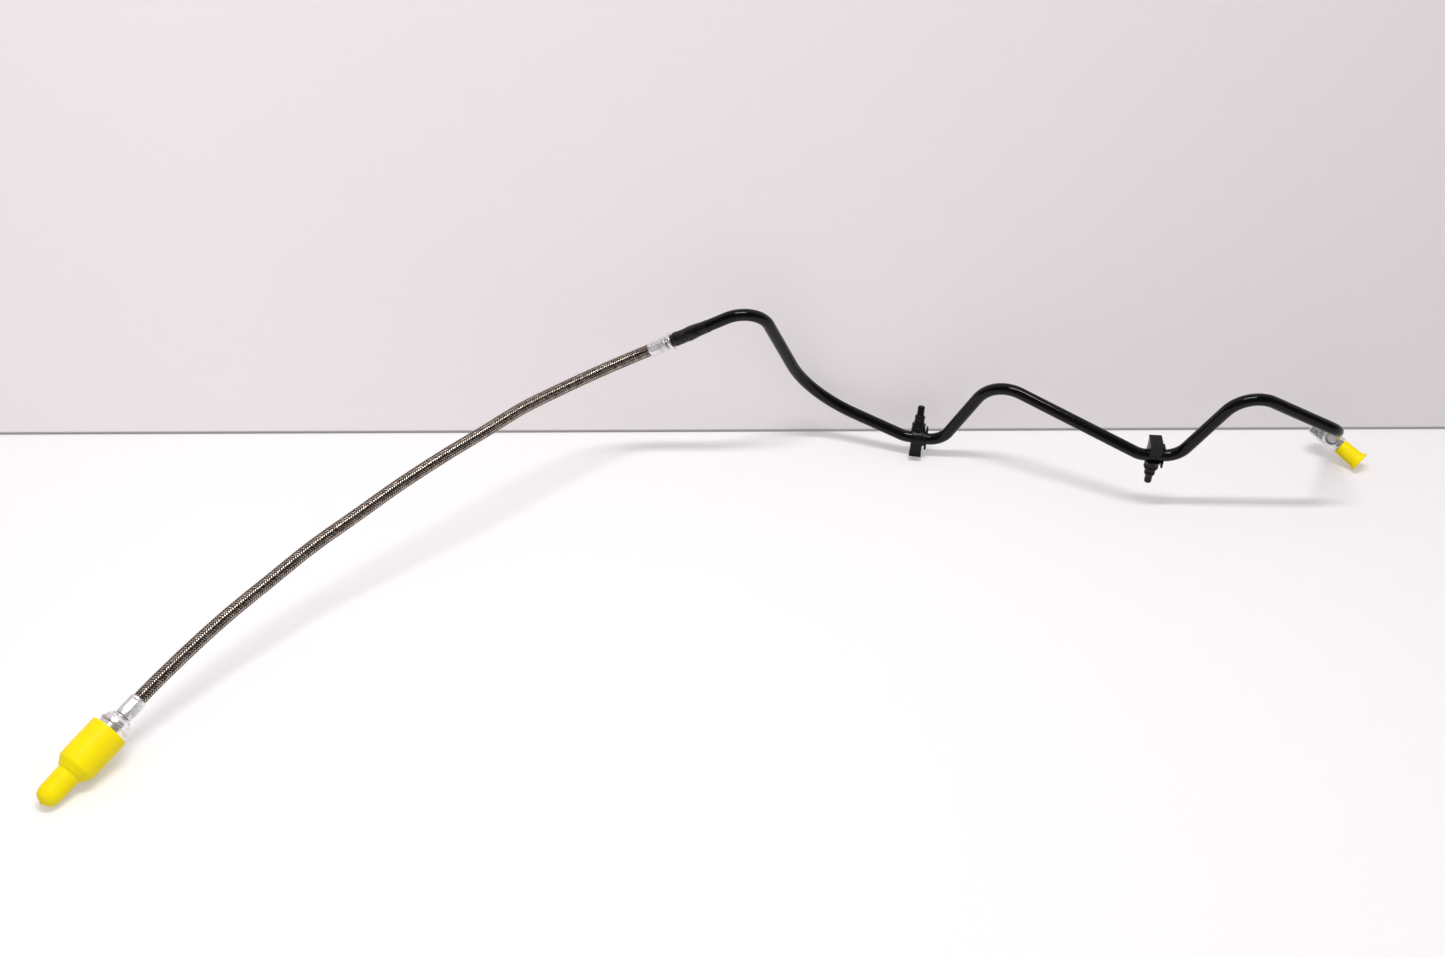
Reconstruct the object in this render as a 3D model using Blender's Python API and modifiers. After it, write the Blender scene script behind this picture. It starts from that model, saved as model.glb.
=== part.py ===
"""A hydraulic clutch line: quick coupling, braided hose, bent steel pipe with two clips, and an elbow fitting.

Units are metres. The line lies on the plane z = 0, as it would come to rest on a bench.
"""

import math

import bmesh
import bpy
from mathutils import Matrix, Vector

# Clearance left between pieces that meet
GAP = 0.0003

# Fineness of round forms
TURN_STEPS = 20
INNER_STEPS = 16
FERRULE_STEPS = 24
SEAL_SECTION_STEPS = 6
BEND_STEP = math.radians(13)
PIPE_SIDES = 12
HOSE_SIDES = 10
SHARP_ANGLE = math.radians(32)
WELD = 0.00001

# Broken edges of turned and moulded pieces, and how far a cutter runs past a face
FINE_EDGE = 0.0002
EDGE = 0.0003
WIDE_EDGE = 0.0005
OVERRUN = 0.0010

# Pipe: where it leaves the hose joint, each corner of its centreline with its bend radius, and the elbow
PIPE_DIAMETER = 0.0082
PIPE_WALL = 0.0008
JOINT_POINT = Vector((-0.248, 0.018, 0.096))
PIPE_BENDS = [
    (Vector((-0.1790, 0.0090, 0.1350)), 0.020),
    (Vector((-0.1412, 0.0507, 0.0381)), 0.062),
    (Vector((-0.0723, 0.0300, 0.0146)), 0.020),
    (Vector((-0.0468, 0.0262, 0.0131)), 0.016),
    (Vector((-0.0165, 0.0130, 0.0734)), 0.026),
    (Vector((0.0787, -0.0326, 0.0438)), 0.016),
    (Vector((0.1034, -0.0342, 0.0435)), 0.016),
    (Vector((0.1373, -0.0456, 0.1036)), 0.022),
    (Vector((0.2040, -0.0410, 0.0690)), 0.015),
]
ELBOW_POINT = Vector((0.2298, 0.0236, 0.01635))

# Hose: its route between the two ferrules, chosen by hand
HOSE_DIAMETER = 0.0086
HOSE_WALL = 0.0020
HOSE_SEAT_CLEARANCE = 0.0005
HOSE_CRIMPED_DIAMETER = 0.0078
HOSE_STEP = 0.018
HOSE_ROUTE = [
    Vector((-0.517, -0.221, 0.036)),
    Vector((-0.497, -0.195, 0.043)),
    Vector((-0.476, -0.170, 0.049)),
    Vector((-0.454, -0.146, 0.056)),
    Vector((-0.430, -0.124, 0.063)),
    Vector((-0.406, -0.102, 0.070)),
    Vector((-0.381, -0.080, 0.076)),
    Vector((-0.355, -0.056, 0.080)),
    Vector((-0.334, -0.034, 0.082)),
    Vector((-0.310, -0.011, 0.082)),
    Vector((-0.280, 0.012, 0.084)),
]

# Ferrule crimped on each end of the hose: its mouth is local z = 0
FERRULE_LENGTH = 0.0130
FERRULE_WALL = 0.00085
FERRULE_END_WALL = 0.0008
FERRULE_CRIMP_DEPTH = 0.00035
FERRULE_CRIMP_START = 0.0018
FERRULE_CRIMP_LENGTH = 0.0085
FERRULE_FLATS = 8
FERRULE_END_EDGE = 0.0005

# Barbed stem inside the hose, on both hose inserts
STEM_BORE = 0.0016
STEM_BARB_HEIGHT = 0.0003
STEM_BARBS = 3
STEM_BARB_PITCH = 0.0030
STEM_BARB_RAMP = 0.0022
STEM_ROOT_LENGTH = 0.0010
STEM_TIP_SETBACK = 0.0010
NECK_DIAMETER = 0.0052

# Joint between hose and pipe
JOINT_FERRULE_BACK = 0.0030
FLANGE_OFFSET = 0.0025
FLANGE_DIAMETER = 0.0123
FLANGE_LENGTH = 0.0020
SPIGOT_IN_PIPE_LENGTH = 0.0100
SHRINK_CLEARANCE = 0.0012
SHRINK_LENGTH = 0.0265
SHRINK_WALL = 0.00045
SHRINK_EDGE = 0.0006
SHRINK_TAPER = 0.0015

# Quick coupling: local z runs from the rear of its body, at the hose, to its nose
COUPLING_HOSE_MOUTH = Vector((-0.5380, -0.2495, 0.0268))
COUPLING_YAW = math.radians(55.1)
COUPLING_TILT = math.radians(16.0)
COUPLING_FERRULE_GAP = 0.0008
BODY_COLLAR_DIAMETER = 0.0126
BODY_COLLAR_LENGTH = 0.0009
BODY_REAR_DIAMETER = 0.0114
BODY_DOME_LENGTH = 0.0050
BODY_DOME_DIAMETER = 0.0170
BODY_DOME_STEPS = 5
BEAD_DIAMETER = 0.0186
BEAD_LENGTH = 0.0018
BARREL_DIAMETER = 0.0172
RING_START = 0.0150
RING_END = 0.0180
RING_DIAMETER = 0.0190
LOCK_GROOVE_DIAMETER = 0.0145
LOCK_GROOVE_END = 0.0210
FRONT_BARREL_DIAMETER = 0.0164
FRONT_BARREL_END = 0.0350
FRONT_FACE = 0.0370
FRONT_DIAMETER = 0.0140
PROBE_DIAMETER = 0.0086
PROBE_END = 0.0580
PROBE_BORE = 0.0050
PROBE_CHAMFER = 0.0007
PROBE_GROOVE_START = 0.0511
PROBE_GROOVE_LENGTH = 0.0020
PROBE_GROOVE_DEPTH = 0.0010
PROBE_SEAL_SECTION = 0.0013
REAR_LIP = 0.0015
HEAD_DIAMETER = 0.0112
HEAD_LENGTH = 0.0054
HEAD_NECK_DIAMETER = 0.0068
HEAD_SEAL_SECTION = 0.0010
HEAD_GROOVE_LENGTH = 0.0018
HEAD_GROOVE_START = 0.0020
HEAD_WELL_START = 0.0020
HEAD_WELL_CONE = 0.0006
HEAD_WELL_CLEARANCE = 0.0005
CHAMBER_DIAMETER = 0.0100
CHAMBER_END = 0.0320
SEAT_CONE_END = 0.0355

# Valve inside the coupling
SPRING_SEAT_DIAMETER = 0.0094
SPRING_SEAT_THICKNESS = 0.0015
SPRING_SEAT_NOTCHES = 6
SPRING_SEAT_NOTCH_RADIUS = 0.0008
SPRING_SEAT_NOTCH_TURN = math.radians(18)
SPRING_WIRE = 0.0009
SPRING_MEAN_DIAMETER = 0.0070
SPRING_TURNS = 5
SPRING_POINTS_PER_TURN = 10
SPRING_SIDES = 8
SPRING_END_PITCH = 1.25
VALVE_HEAD_REAR = 0.0286
VALVE_HEAD_DIAMETER = 0.0090
VALVE_GROOVE_START = 0.0310
VALVE_GROOVE_LENGTH = 0.0016
VALVE_GROOVE_FLOOR = 0.0067
VALVE_SEAL_DIAMETER = 0.0083
VALVE_SEAL_SECTION = 0.0010
VALVE_LIP_DIAMETER = 0.0078
VALVE_STEM_DIAMETER = 0.0026
VALVE_STEM_END = 0.0078
VALVE_PIN_END = 0.0562
VALVE_TIP_CHAMFER = 0.0004

# Cap over the coupling
SLAVE_CAP_MOUTH = 0.0098
SLAVE_CAP_WALL = 0.00195
SLAVE_CAP_SHOULDER = 0.0408
SLAVE_CAP_SHOULDER_RADIUS = 0.0040
SLAVE_CAP_NOSE_DIAMETER = 0.0143
SLAVE_CAP_NOSE_WALL = 0.0015
SLAVE_CAP_END = 0.0624
SLAVE_CAP_NOSE_RADIUS = 0.0055
SLAVE_CAP_END_WALL = 0.0022
SLAVE_CAP_NIB_DIAMETER = 0.0022
SLAVE_CAP_NIB_TOP_DIAMETER = 0.0018
SLAVE_CAP_NIB_LENGTH = 0.0005
SLAVE_CAP_FILLET = 0.0006
SLAVE_CAP_EDGE = 0.0004
SLAVE_CAP_INNER_RADIUS = 0.0022
SLAVE_CAP_INNER_CORNER = 0.0020

# Elbow fitting: local z runs along its spigot, local x up its inlet
SPIGOT_DIRECTION = Vector((0.7025, -0.6000, -0.3827))
FITTING_DIAMETER = 0.0120
FITTING_REAR = -0.0060
FITTING_SHOULDER = 0.0073
FITTING_EDGE = 0.0004
SPIGOT_DIAMETER = 0.0084
SPIGOT_END = 0.0213
SPIGOT_CHAMFER = 0.0006
SPIGOT_BORE = 0.0036
DRILL_POINT = 0.0012
PIN_GROOVE_START = 0.0120
PIN_GROOVE_LENGTH = 0.0030
PIN_GROOVE_DEPTH = 0.0008
BOSS_DIAMETER = 0.0104
BOSS_END = 0.0108
SOCKET_DEPTH = 0.0045
LUG_REAR = -0.0160
LUG_FRONT = -0.0042
LUG_WIDTH = 0.0128
LUG_THICKNESS = 0.0100
LUG_EDGE = 0.0010
PLUG_Z = -0.0095
PLUG_Y = 0.0022
PLUG_HEAD_DIAMETER = 0.0052
PLUG_HEAD_LENGTH = 0.0012
PLUG_SHANK_DIAMETER = 0.0034
PLUG_SHANK_LENGTH = 0.0040
PLUG_RECESS_MARGIN = 0.0004
PLUG_RIM_HEIGHT = 0.0002
PLUG_DISH_DIAMETER = 0.0034
PLUG_DISH_FLOOR_DIAMETER = 0.0028

# Cap over the spigot
MASTER_CAP_WALL = 0.0010
MASTER_CAP_TAPER = 0.0003
MASTER_CAP_FLARE_START = 0.0210
MASTER_CAP_RIM_DIAMETER = 0.0146
MASTER_CAP_RIM_THICKNESS = 0.0015
MASTER_CAP_END = 0.0251
MASTER_CAP_RIM_TOP_WIDTH = 0.0016
MASTER_CAP_FLARE_CURVE = 0.0008
MASTER_CAP_DISH = 0.0004
MASTER_CAP_END_WALL = 0.0012

# Push-in clips: local x runs along the pipe, local z up the stud
CLIP_ALONG_RUN = 0.0090
LOWER_CLIP_STUD = Vector((0.0, 0.342, 0.940))
UPPER_CLIP_STUD = Vector((0.0, 0.070, -0.998))
CLIP_WALL = 0.0022
CLIP_WIDTH = 0.0080
CLIP_BASE_DEPTH = 0.0115
CLIP_BASE_SPAN = 0.0116
CLIP_BASE_EDGE = 0.0006
CLIP_FOOT_THICKNESS = 0.0011
CLIP_FOOT_LEDGE = 0.0003
CLIP_SLOT = 0.0064
CLIP_SLEEVE_WALL = 0.0011
CLIP_WING_OFFSET = 0.0056
CLIP_WING_THICKNESS = 0.0014
CLIP_WING_SPAN = 0.0070
CLIP_WING_TOP = 0.0085
CLIP_WING_LOW = -0.0074
STUD_LOWER_DIAMETER = 0.0098
STUD_LOWER_END = 0.0105
STUD_LOWER_START = 0.0045
STUD_UPPER_DIAMETER = 0.0072
STUD_UPPER_END = 0.0165
STUD_PIN_DIAMETER = 0.0050
STUD_PIN_END = 0.0235
STUD_RIB_DEPTH = 0.0005
STUD_RIB_SLOPE = 0.0008
STUD_RIB_STEP = 0.0004
STUD_BARE_LENGTH = 0.0020
STUD_TIP_RADIUS = 0.0018

# Values worked out from those above
PIPE_RADIUS = PIPE_DIAMETER / 2
PIPE_BORE_RADIUS = PIPE_RADIUS - PIPE_WALL
HOSE_CRIMPED_RADIUS = HOSE_CRIMPED_DIAMETER / 2
HOSE_SEAT = FERRULE_LENGTH - FERRULE_END_WALL - HOSE_SEAT_CLEARANCE
NECK_RADIUS = NECK_DIAMETER / 2
STEM_BARB_RADIUS = HOSE_CRIMPED_RADIUS - HOSE_WALL - GAP
STEM_ROOT_RADIUS = STEM_BARB_RADIUS - STEM_BARB_HEIGHT
STEM_BORE_RADIUS = STEM_BORE / 2
FERRULE_BORE_RADIUS = HOSE_CRIMPED_RADIUS + GAP
FERRULE_RADIUS = FERRULE_BORE_RADIUS + FERRULE_WALL
FLANGE_START = FERRULE_LENGTH - JOINT_FERRULE_BACK + FLANGE_OFFSET
FLANGE_END = FLANGE_START + FLANGE_LENGTH
PIPE_START = FLANGE_END + GAP
SHRINK_START = FLANGE_END + SHRINK_CLEARANCE
HEAD_START = REAR_LIP + GAP
HEAD_END = HEAD_START + HEAD_LENGTH
HEAD_POCKET_RADIUS = HEAD_DIAMETER / 2 + GAP
SPRING_SEAT_START = HEAD_END + GAP
SPRING_SEAT_END = SPRING_SEAT_START + SPRING_SEAT_THICKNESS
VALVE_STEM_RADIUS = VALVE_STEM_DIAMETER / 2
SLAVE_CAP_BORE_RADIUS = RING_DIAMETER / 2 + GAP
SLAVE_CAP_RADIUS = SLAVE_CAP_BORE_RADIUS + SLAVE_CAP_WALL
PIPE_END = BOSS_END - SOCKET_DEPTH + GAP
CLIP_BORE_RADIUS = PIPE_RADIUS + GAP
CLIP_COLLAR_RADIUS = CLIP_BORE_RADIUS + CLIP_WALL
CLIP_FOOT = CLIP_BASE_DEPTH + CLIP_FOOT_THICKNESS


def clear_scene():
    for obj in list(bpy.data.objects):
        bpy.data.objects.remove(obj)


def new_collection(name):
    made = bpy.data.collections.new(name)
    bpy.context.scene.collection.children.link(made)
    return made


def new_material(name, colour, roughness, metallic=0.0):
    made = bpy.data.materials.new(name)
    made.use_nodes = True
    shader = made.node_tree.nodes["Principled BSDF"]
    shader.inputs["Base Color"].default_value = (*colour, 1.0)
    shader.inputs["Roughness"].default_value = roughness
    shader.inputs["Metallic"].default_value = metallic
    made.diffuse_color = (*colour, 1.0)
    return made


def frame_at(origin, z_axis, x_hint):
    """A frame with its Z along z_axis and its X as near x_hint as it can be."""
    z = z_axis.normalized()
    x = (x_hint - x_hint.dot(z) * z).normalized()
    turned_frame = Matrix((x, z.cross(x), z)).transposed().to_4x4()
    turned_frame.translation = origin
    return turned_frame


def frame_along(origin, x_axis, z_hint):
    """A frame with its X along x_axis and its Z as near z_hint as it can be."""
    x = x_axis.normalized()
    z = (z_hint - z_hint.dot(x) * x).normalized()
    made = Matrix((x, z.cross(x), z)).transposed().to_4x4()
    made.translation = origin
    return made


def link(name, data, frame, collection):
    obj = bpy.data.objects.new(name, data)
    obj.matrix_world = frame
    collection.objects.link(obj)
    return obj


def helper(name, mesh, frame):
    """A shape that is joined to a piece or cut from it."""
    obj = link(name, mesh, frame, CUTTERS)
    obj.hide_render = True
    obj.display_type = "WIRE"
    return obj


def evaluated_mesh(obj):
    depsgraph = bpy.context.evaluated_depsgraph_get()
    return bpy.data.meshes.new_from_object(obj.evaluated_get(depsgraph))


def weld(mesh, distance):
    work = bmesh.new()
    work.from_mesh(mesh)
    bmesh.ops.remove_doubles(work, verts=work.verts, dist=distance)
    work.to_mesh(mesh)
    work.free()


def settle(obj, material):
    """Apply the object's modifiers, give it its material and shade its round faces smooth."""
    mesh = evaluated_mesh(obj)
    weld(mesh, WELD)
    obj.modifiers.clear()
    mesh.name = obj.name
    obj.data = mesh
    mesh.materials.clear()
    mesh.materials.append(material)
    mesh.shade_smooth()
    mesh.set_sharp_from_angle(angle=SHARP_ANGLE)
    return obj


def turned_mesh(name, profile, closed=True, steps=TURN_STEPS):
    """The mesh turned about z from (radius, height) points that run down its outer side."""
    mesh = bpy.data.meshes.new(name)
    edges = [(i, i + 1) for i in range(len(profile) - 1)]
    if closed:
        edges.append((len(profile) - 1, 0))
    mesh.from_pydata([(radius, 0.0, height) for radius, height in profile], edges, [])
    blank = bpy.data.objects.new(name, mesh)
    CUTTERS.objects.link(blank)
    screw = blank.modifiers.new("turn", "SCREW")
    screw.steps = steps
    screw.render_steps = steps
    screw.use_merge_vertices = True
    screw.merge_threshold = WELD
    result = evaluated_mesh(blank)
    bpy.data.objects.remove(blank)
    return result


def turned(name, profile, frame, material, closed=True, steps=TURN_STEPS):
    obj = link(name, turned_mesh(name, profile, closed, steps), frame, PARTS)
    return settle(obj, material)


def arc(centre_r, centre_z, radius, start, end, count=4):
    """Points of a round edge in a profile, from one angle to another in degrees, 0 outwards and 90 up."""
    points = []
    for i in range(count + 1):
        angle = math.radians(start + (end - start) * i / count)
        points.append((centre_r + radius * math.cos(angle), centre_z + radius * math.sin(angle)))
    return points


def cylinder_mesh(name, radius, low, high, steps=TURN_STEPS):
    mesh = bpy.data.meshes.new(name)
    work = bmesh.new()
    place = Matrix.Translation((0, 0, (low + high) / 2))
    bmesh.ops.create_cone(
        work, cap_ends=True, segments=steps, radius1=radius, radius2=radius, depth=high - low, matrix=place
    )
    work.to_mesh(mesh)
    work.free()
    return mesh


def box_mesh(name, low, high):
    mesh = bpy.data.meshes.new(name)
    work = bmesh.new()
    low = Vector(low)
    high = Vector(high)
    place = Matrix.Translation((low + high) / 2) @ Matrix.Diagonal((*(high - low), 1.0))
    bmesh.ops.create_cube(work, size=1.0, matrix=place)
    work.to_mesh(mesh)
    work.free()
    return mesh


def bevel(obj, width, segments=2):
    edge = obj.modifiers.new("edge", "BEVEL")
    edge.width = width
    edge.segments = segments
    edge.limit_method = "ANGLE"


def boolean(obj, other, operation):
    step = obj.modifiers.new(operation.lower(), "BOOLEAN")
    step.object = other
    step.operation = operation
    step.solver = "EXACT"


def ring_seal(name, mean_radius, section, height, frame, material):
    bpy.ops.mesh.primitive_torus_add(
        major_radius=mean_radius,
        minor_radius=section / 2,
        major_segments=INNER_STEPS,
        minor_segments=SEAL_SECTION_STEPS,
    )
    obj = bpy.context.object
    obj.name = name
    for owner in obj.users_collection:
        owner.objects.unlink(obj)
    PARTS.objects.link(obj)
    obj.matrix_world = frame @ Matrix.Translation((0, 0, height))
    return settle(obj, material)


def swept_mesh(name, points, diameter, sides, scale=None, caps=False):
    """A round tube's skin along a line of points, with its radius scaled at each point if asked."""
    curve = bpy.data.curves.new(name, "CURVE")
    curve.dimensions = "3D"
    curve.bevel_depth = diameter / 2
    curve.bevel_resolution = sides // 2 - 2
    curve.use_fill_caps = caps
    spline = curve.splines.new("POLY")
    spline.points.add(len(points) - 1)
    for i, point in enumerate(points):
        spline.points[i].co = (*point, 1.0)
        if scale:
            spline.points[i].radius = scale[i]
    blank = bpy.data.objects.new(name, curve)
    CUTTERS.objects.link(blank)
    mesh = evaluated_mesh(blank)
    bpy.data.objects.remove(blank)
    weld(mesh, WELD)
    return mesh


def hollow_tube(name, points, diameter, wall, sides, material, scale=None):
    obj = link(name, swept_mesh(name, points, diameter, sides, scale), Matrix(), PARTS)
    shell = obj.modifiers.new("wall", "SOLIDIFY")
    shell.thickness = wall
    shell.offset = -1.0
    shell.use_even_offset = True
    return settle(obj, material)


def rounded_route(start, bends, end):
    """Points along straight runs joined by arcs of each bend's radius."""
    corners = [start] + [corner for corner, radius in bends] + [end]
    points = [start]
    for i, (corner, radius) in enumerate(bends, start=1):
        back = (corners[i - 1] - corner).normalized()
        ahead = (corners[i + 1] - corner).normalized()
        turn = math.pi - back.angle(ahead)
        reach = radius * math.tan(turn / 2)
        centre = corner + (back + ahead).normalized() * radius / math.cos(turn / 2)
        first = corner + back * reach - centre
        axis = back.cross(ahead).normalized()
        count = max(2, math.ceil(turn / BEND_STEP))
        for step in range(count + 1):
            spin = Matrix.Rotation(-turn * step / count, 3, axis)
            points.append(centre + spin @ first)
    points.append(end)
    return points


def smooth_route(points, start_way, end_way, step):
    """Evenly spaced points on a smooth curve through the given ones, with set directions at its ends."""
    spans = [(b - a).length for a, b in zip(points, points[1:])]
    slopes = [(b - a) / span for a, b, span in zip(points, points[1:], spans)]
    ways = [start_way]
    for i in range(1, len(points) - 1):
        blended = slopes[i - 1] * spans[i] + slopes[i] * spans[i - 1]
        ways.append(blended / (spans[i - 1] + spans[i]))
    ways.append(end_way)
    fine = []
    for i, span in enumerate(spans):
        for k in range(20):
            t = k / 20
            fine.append(
                points[i] * (2 * t**3 - 3 * t**2 + 1)
                + ways[i] * span * (t**3 - 2 * t**2 + t)
                + points[i + 1] * (3 * t**2 - 2 * t**3)
                + ways[i + 1] * span * (t**3 - t**2)
            )
    fine.append(points[-1])
    run = [0.0]
    for a, b in zip(fine, fine[1:]):
        run.append(run[-1] + (b - a).length)
    count = round(run[-1] / step)
    even = []
    i = 0
    for k in range(count + 1):
        want = run[-1] * k / count
        while i < len(fine) - 2 and run[i + 1] < want:
            i += 1
        share = (want - run[i]) / (run[i + 1] - run[i])
        even.append(fine[i].lerp(fine[i + 1], share))
    return even


def pipe_route():
    """The pipe's centreline, from the flange of the hose joint into the elbow's socket."""
    way = (PIPE_BENDS[0][0] - JOINT_POINT).normalized()
    inlet = (PIPE_BENDS[-1][0] - ELBOW_POINT).normalized()
    return rounded_route(JOINT_POINT + way * PIPE_START, PIPE_BENDS, ELBOW_POINT + inlet * PIPE_END)


def joint_frame():
    return frame_at(JOINT_POINT, PIPE_BENDS[0][0] - JOINT_POINT, Vector((0, 0, 1)))


def coupling_frame():
    """At the rear of the coupling's body, with z towards its nose."""
    flat = math.cos(COUPLING_TILT)
    to_hose = Vector((flat * math.cos(COUPLING_YAW), flat * math.sin(COUPLING_YAW), math.sin(COUPLING_TILT)))
    rear = COUPLING_HOSE_MOUTH - to_hose * (FERRULE_LENGTH + COUPLING_FERRULE_GAP)
    return frame_at(rear, -to_hose, Vector((0, 0, 1)))


def fitting_frame():
    """At the elbow of the fitting, with x up its inlet and z along its spigot."""
    return frame_along(ELBOW_POINT, PIPE_BENDS[-1][0] - ELBOW_POINT, SPIGOT_DIRECTION)


def clip_frame(first_bend, stud):
    """On the pipe's axis, on the short straight run after the given bend."""
    start = PIPE_BENDS[first_bend][0]
    way = (PIPE_BENDS[first_bend + 1][0] - start).normalized()
    return frame_along(start + way * CLIP_ALONG_RUN, way, stud)


def shifted(frame, height):
    return frame @ Matrix.Translation((0, 0, height))


def steel_pipe(material):
    return hollow_tube("steel_pipe", pipe_route(), PIPE_DIAMETER, PIPE_WALL, PIPE_SIDES, material)


def hose_route():
    """The hose's centreline from its seat in the coupling's ferrule to its seat in the pipe's."""
    coupling_way = coupling_frame().to_3x3() @ Vector((0, 0, -1))
    joint_way = joint_frame().to_3x3() @ Vector((0, 0, 1))
    joint_mouth = JOINT_POINT - joint_way * JOINT_FERRULE_BACK
    middle = [COUPLING_HOSE_MOUTH] + HOSE_ROUTE + [joint_mouth]
    free = smooth_route(middle, coupling_way, joint_way, HOSE_STEP)
    first_seat = COUPLING_HOSE_MOUTH - coupling_way * HOSE_SEAT
    last_seat = joint_mouth + joint_way * HOSE_SEAT
    return [first_seat] + free + [last_seat]


def braided_hose(material):
    points = hose_route()
    squeezed = HOSE_CRIMPED_DIAMETER / HOSE_DIAMETER
    scale = [squeezed, squeezed] + [1.0] * (len(points) - 4) + [squeezed, squeezed]
    return hollow_tube("braided_hose", points, HOSE_DIAMETER, HOSE_WALL, HOSE_SIDES, material, scale)


def crimped_ferrule(name, frame, material):
    """A turned ferrule squeezed to flats by a die, local z = 0 at its mouth."""
    profile = [
        (NECK_RADIUS + GAP, FERRULE_LENGTH),
        (FERRULE_RADIUS - FERRULE_END_EDGE, FERRULE_LENGTH),
        (FERRULE_RADIUS, FERRULE_LENGTH - FERRULE_END_EDGE),
        (FERRULE_RADIUS, EDGE),
        (FERRULE_RADIUS - EDGE, 0.0),
        (FERRULE_BORE_RADIUS, 0.0),
        (FERRULE_BORE_RADIUS, FERRULE_LENGTH - FERRULE_END_WALL),
        (NECK_RADIUS + GAP, FERRULE_LENGTH - FERRULE_END_WALL),
    ]
    obj = link(name, turned_mesh(name, profile, steps=FERRULE_STEPS), frame, PARTS)
    flat_radius = (FERRULE_RADIUS - FERRULE_CRIMP_DEPTH) / math.cos(math.pi / FERRULE_FLATS)
    mesh = bpy.data.meshes.new(name + "_die")
    work = bmesh.new()
    bmesh.ops.create_cone(
        work,
        cap_ends=False,
        segments=FERRULE_FLATS,
        radius1=flat_radius,
        radius2=flat_radius,
        depth=FERRULE_CRIMP_LENGTH,
        matrix=Matrix.Translation((0, 0, FERRULE_CRIMP_START + FERRULE_CRIMP_LENGTH / 2)),
    )
    work.to_mesh(mesh)
    work.free()
    die = helper(name + "_die", mesh, frame)
    jaw = die.modifiers.new("jaw", "SOLIDIFY")
    jaw.thickness = FERRULE_RADIUS / 2
    jaw.offset = 1.0
    boolean(obj, die, "DIFFERENCE")
    return settle(obj, material)


def barbed_stem(top):
    """Profile points down a barbed stem, from its root at the given height to its open tip."""
    points = [(STEM_ROOT_RADIUS, top)]
    for i in range(STEM_BARBS):
        height = top - STEM_ROOT_LENGTH - i * STEM_BARB_PITCH
        points.append((STEM_ROOT_RADIUS, height))
        points.append((STEM_BARB_RADIUS, height))
        points.append((STEM_ROOT_RADIUS, height - STEM_BARB_RAMP))
    tip = top - HOSE_SEAT - GAP + STEM_TIP_SETBACK
    points.append((STEM_ROOT_RADIUS, tip))
    points.append((STEM_BORE_RADIUS, tip))
    return points


def pipe_insert(material):
    """The hose's barbed end, with the flange and the spigot that is brazed in the pipe."""
    seat = HOSE_SEAT - JOINT_FERRULE_BACK + GAP
    spigot = PIPE_BORE_RADIUS - GAP
    spigot_end = FLANGE_END + SPIGOT_IN_PIPE_LENGTH
    flange = FLANGE_DIAMETER / 2
    profile = [
        (STEM_BORE_RADIUS, spigot_end),
        (spigot - EDGE, spigot_end),
        (spigot, spigot_end - EDGE),
        (spigot, FLANGE_END),
        (flange - EDGE, FLANGE_END),
        (flange, FLANGE_END - EDGE),
        (flange, FLANGE_START + EDGE),
        (flange - EDGE, FLANGE_START),
        (NECK_RADIUS, FLANGE_START),
        (NECK_RADIUS, seat),
    ]
    return turned("pipe_insert", profile + barbed_stem(seat), joint_frame(), material, steps=INNER_STEPS)


def heat_shrink(material):
    inner = PIPE_RADIUS + GAP
    outer = inner + SHRINK_WALL
    end = SHRINK_START + SHRINK_LENGTH
    profile = [
        (inner, end),
        (inner + SHRINK_WALL / 4, end),
        (outer, end - SHRINK_TAPER),
        (outer, SHRINK_START + SHRINK_EDGE),
        (inner + SHRINK_WALL / 2, SHRINK_START),
        (inner, SHRINK_START),
    ]
    return turned("heat_shrink", profile, joint_frame(), material)


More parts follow.
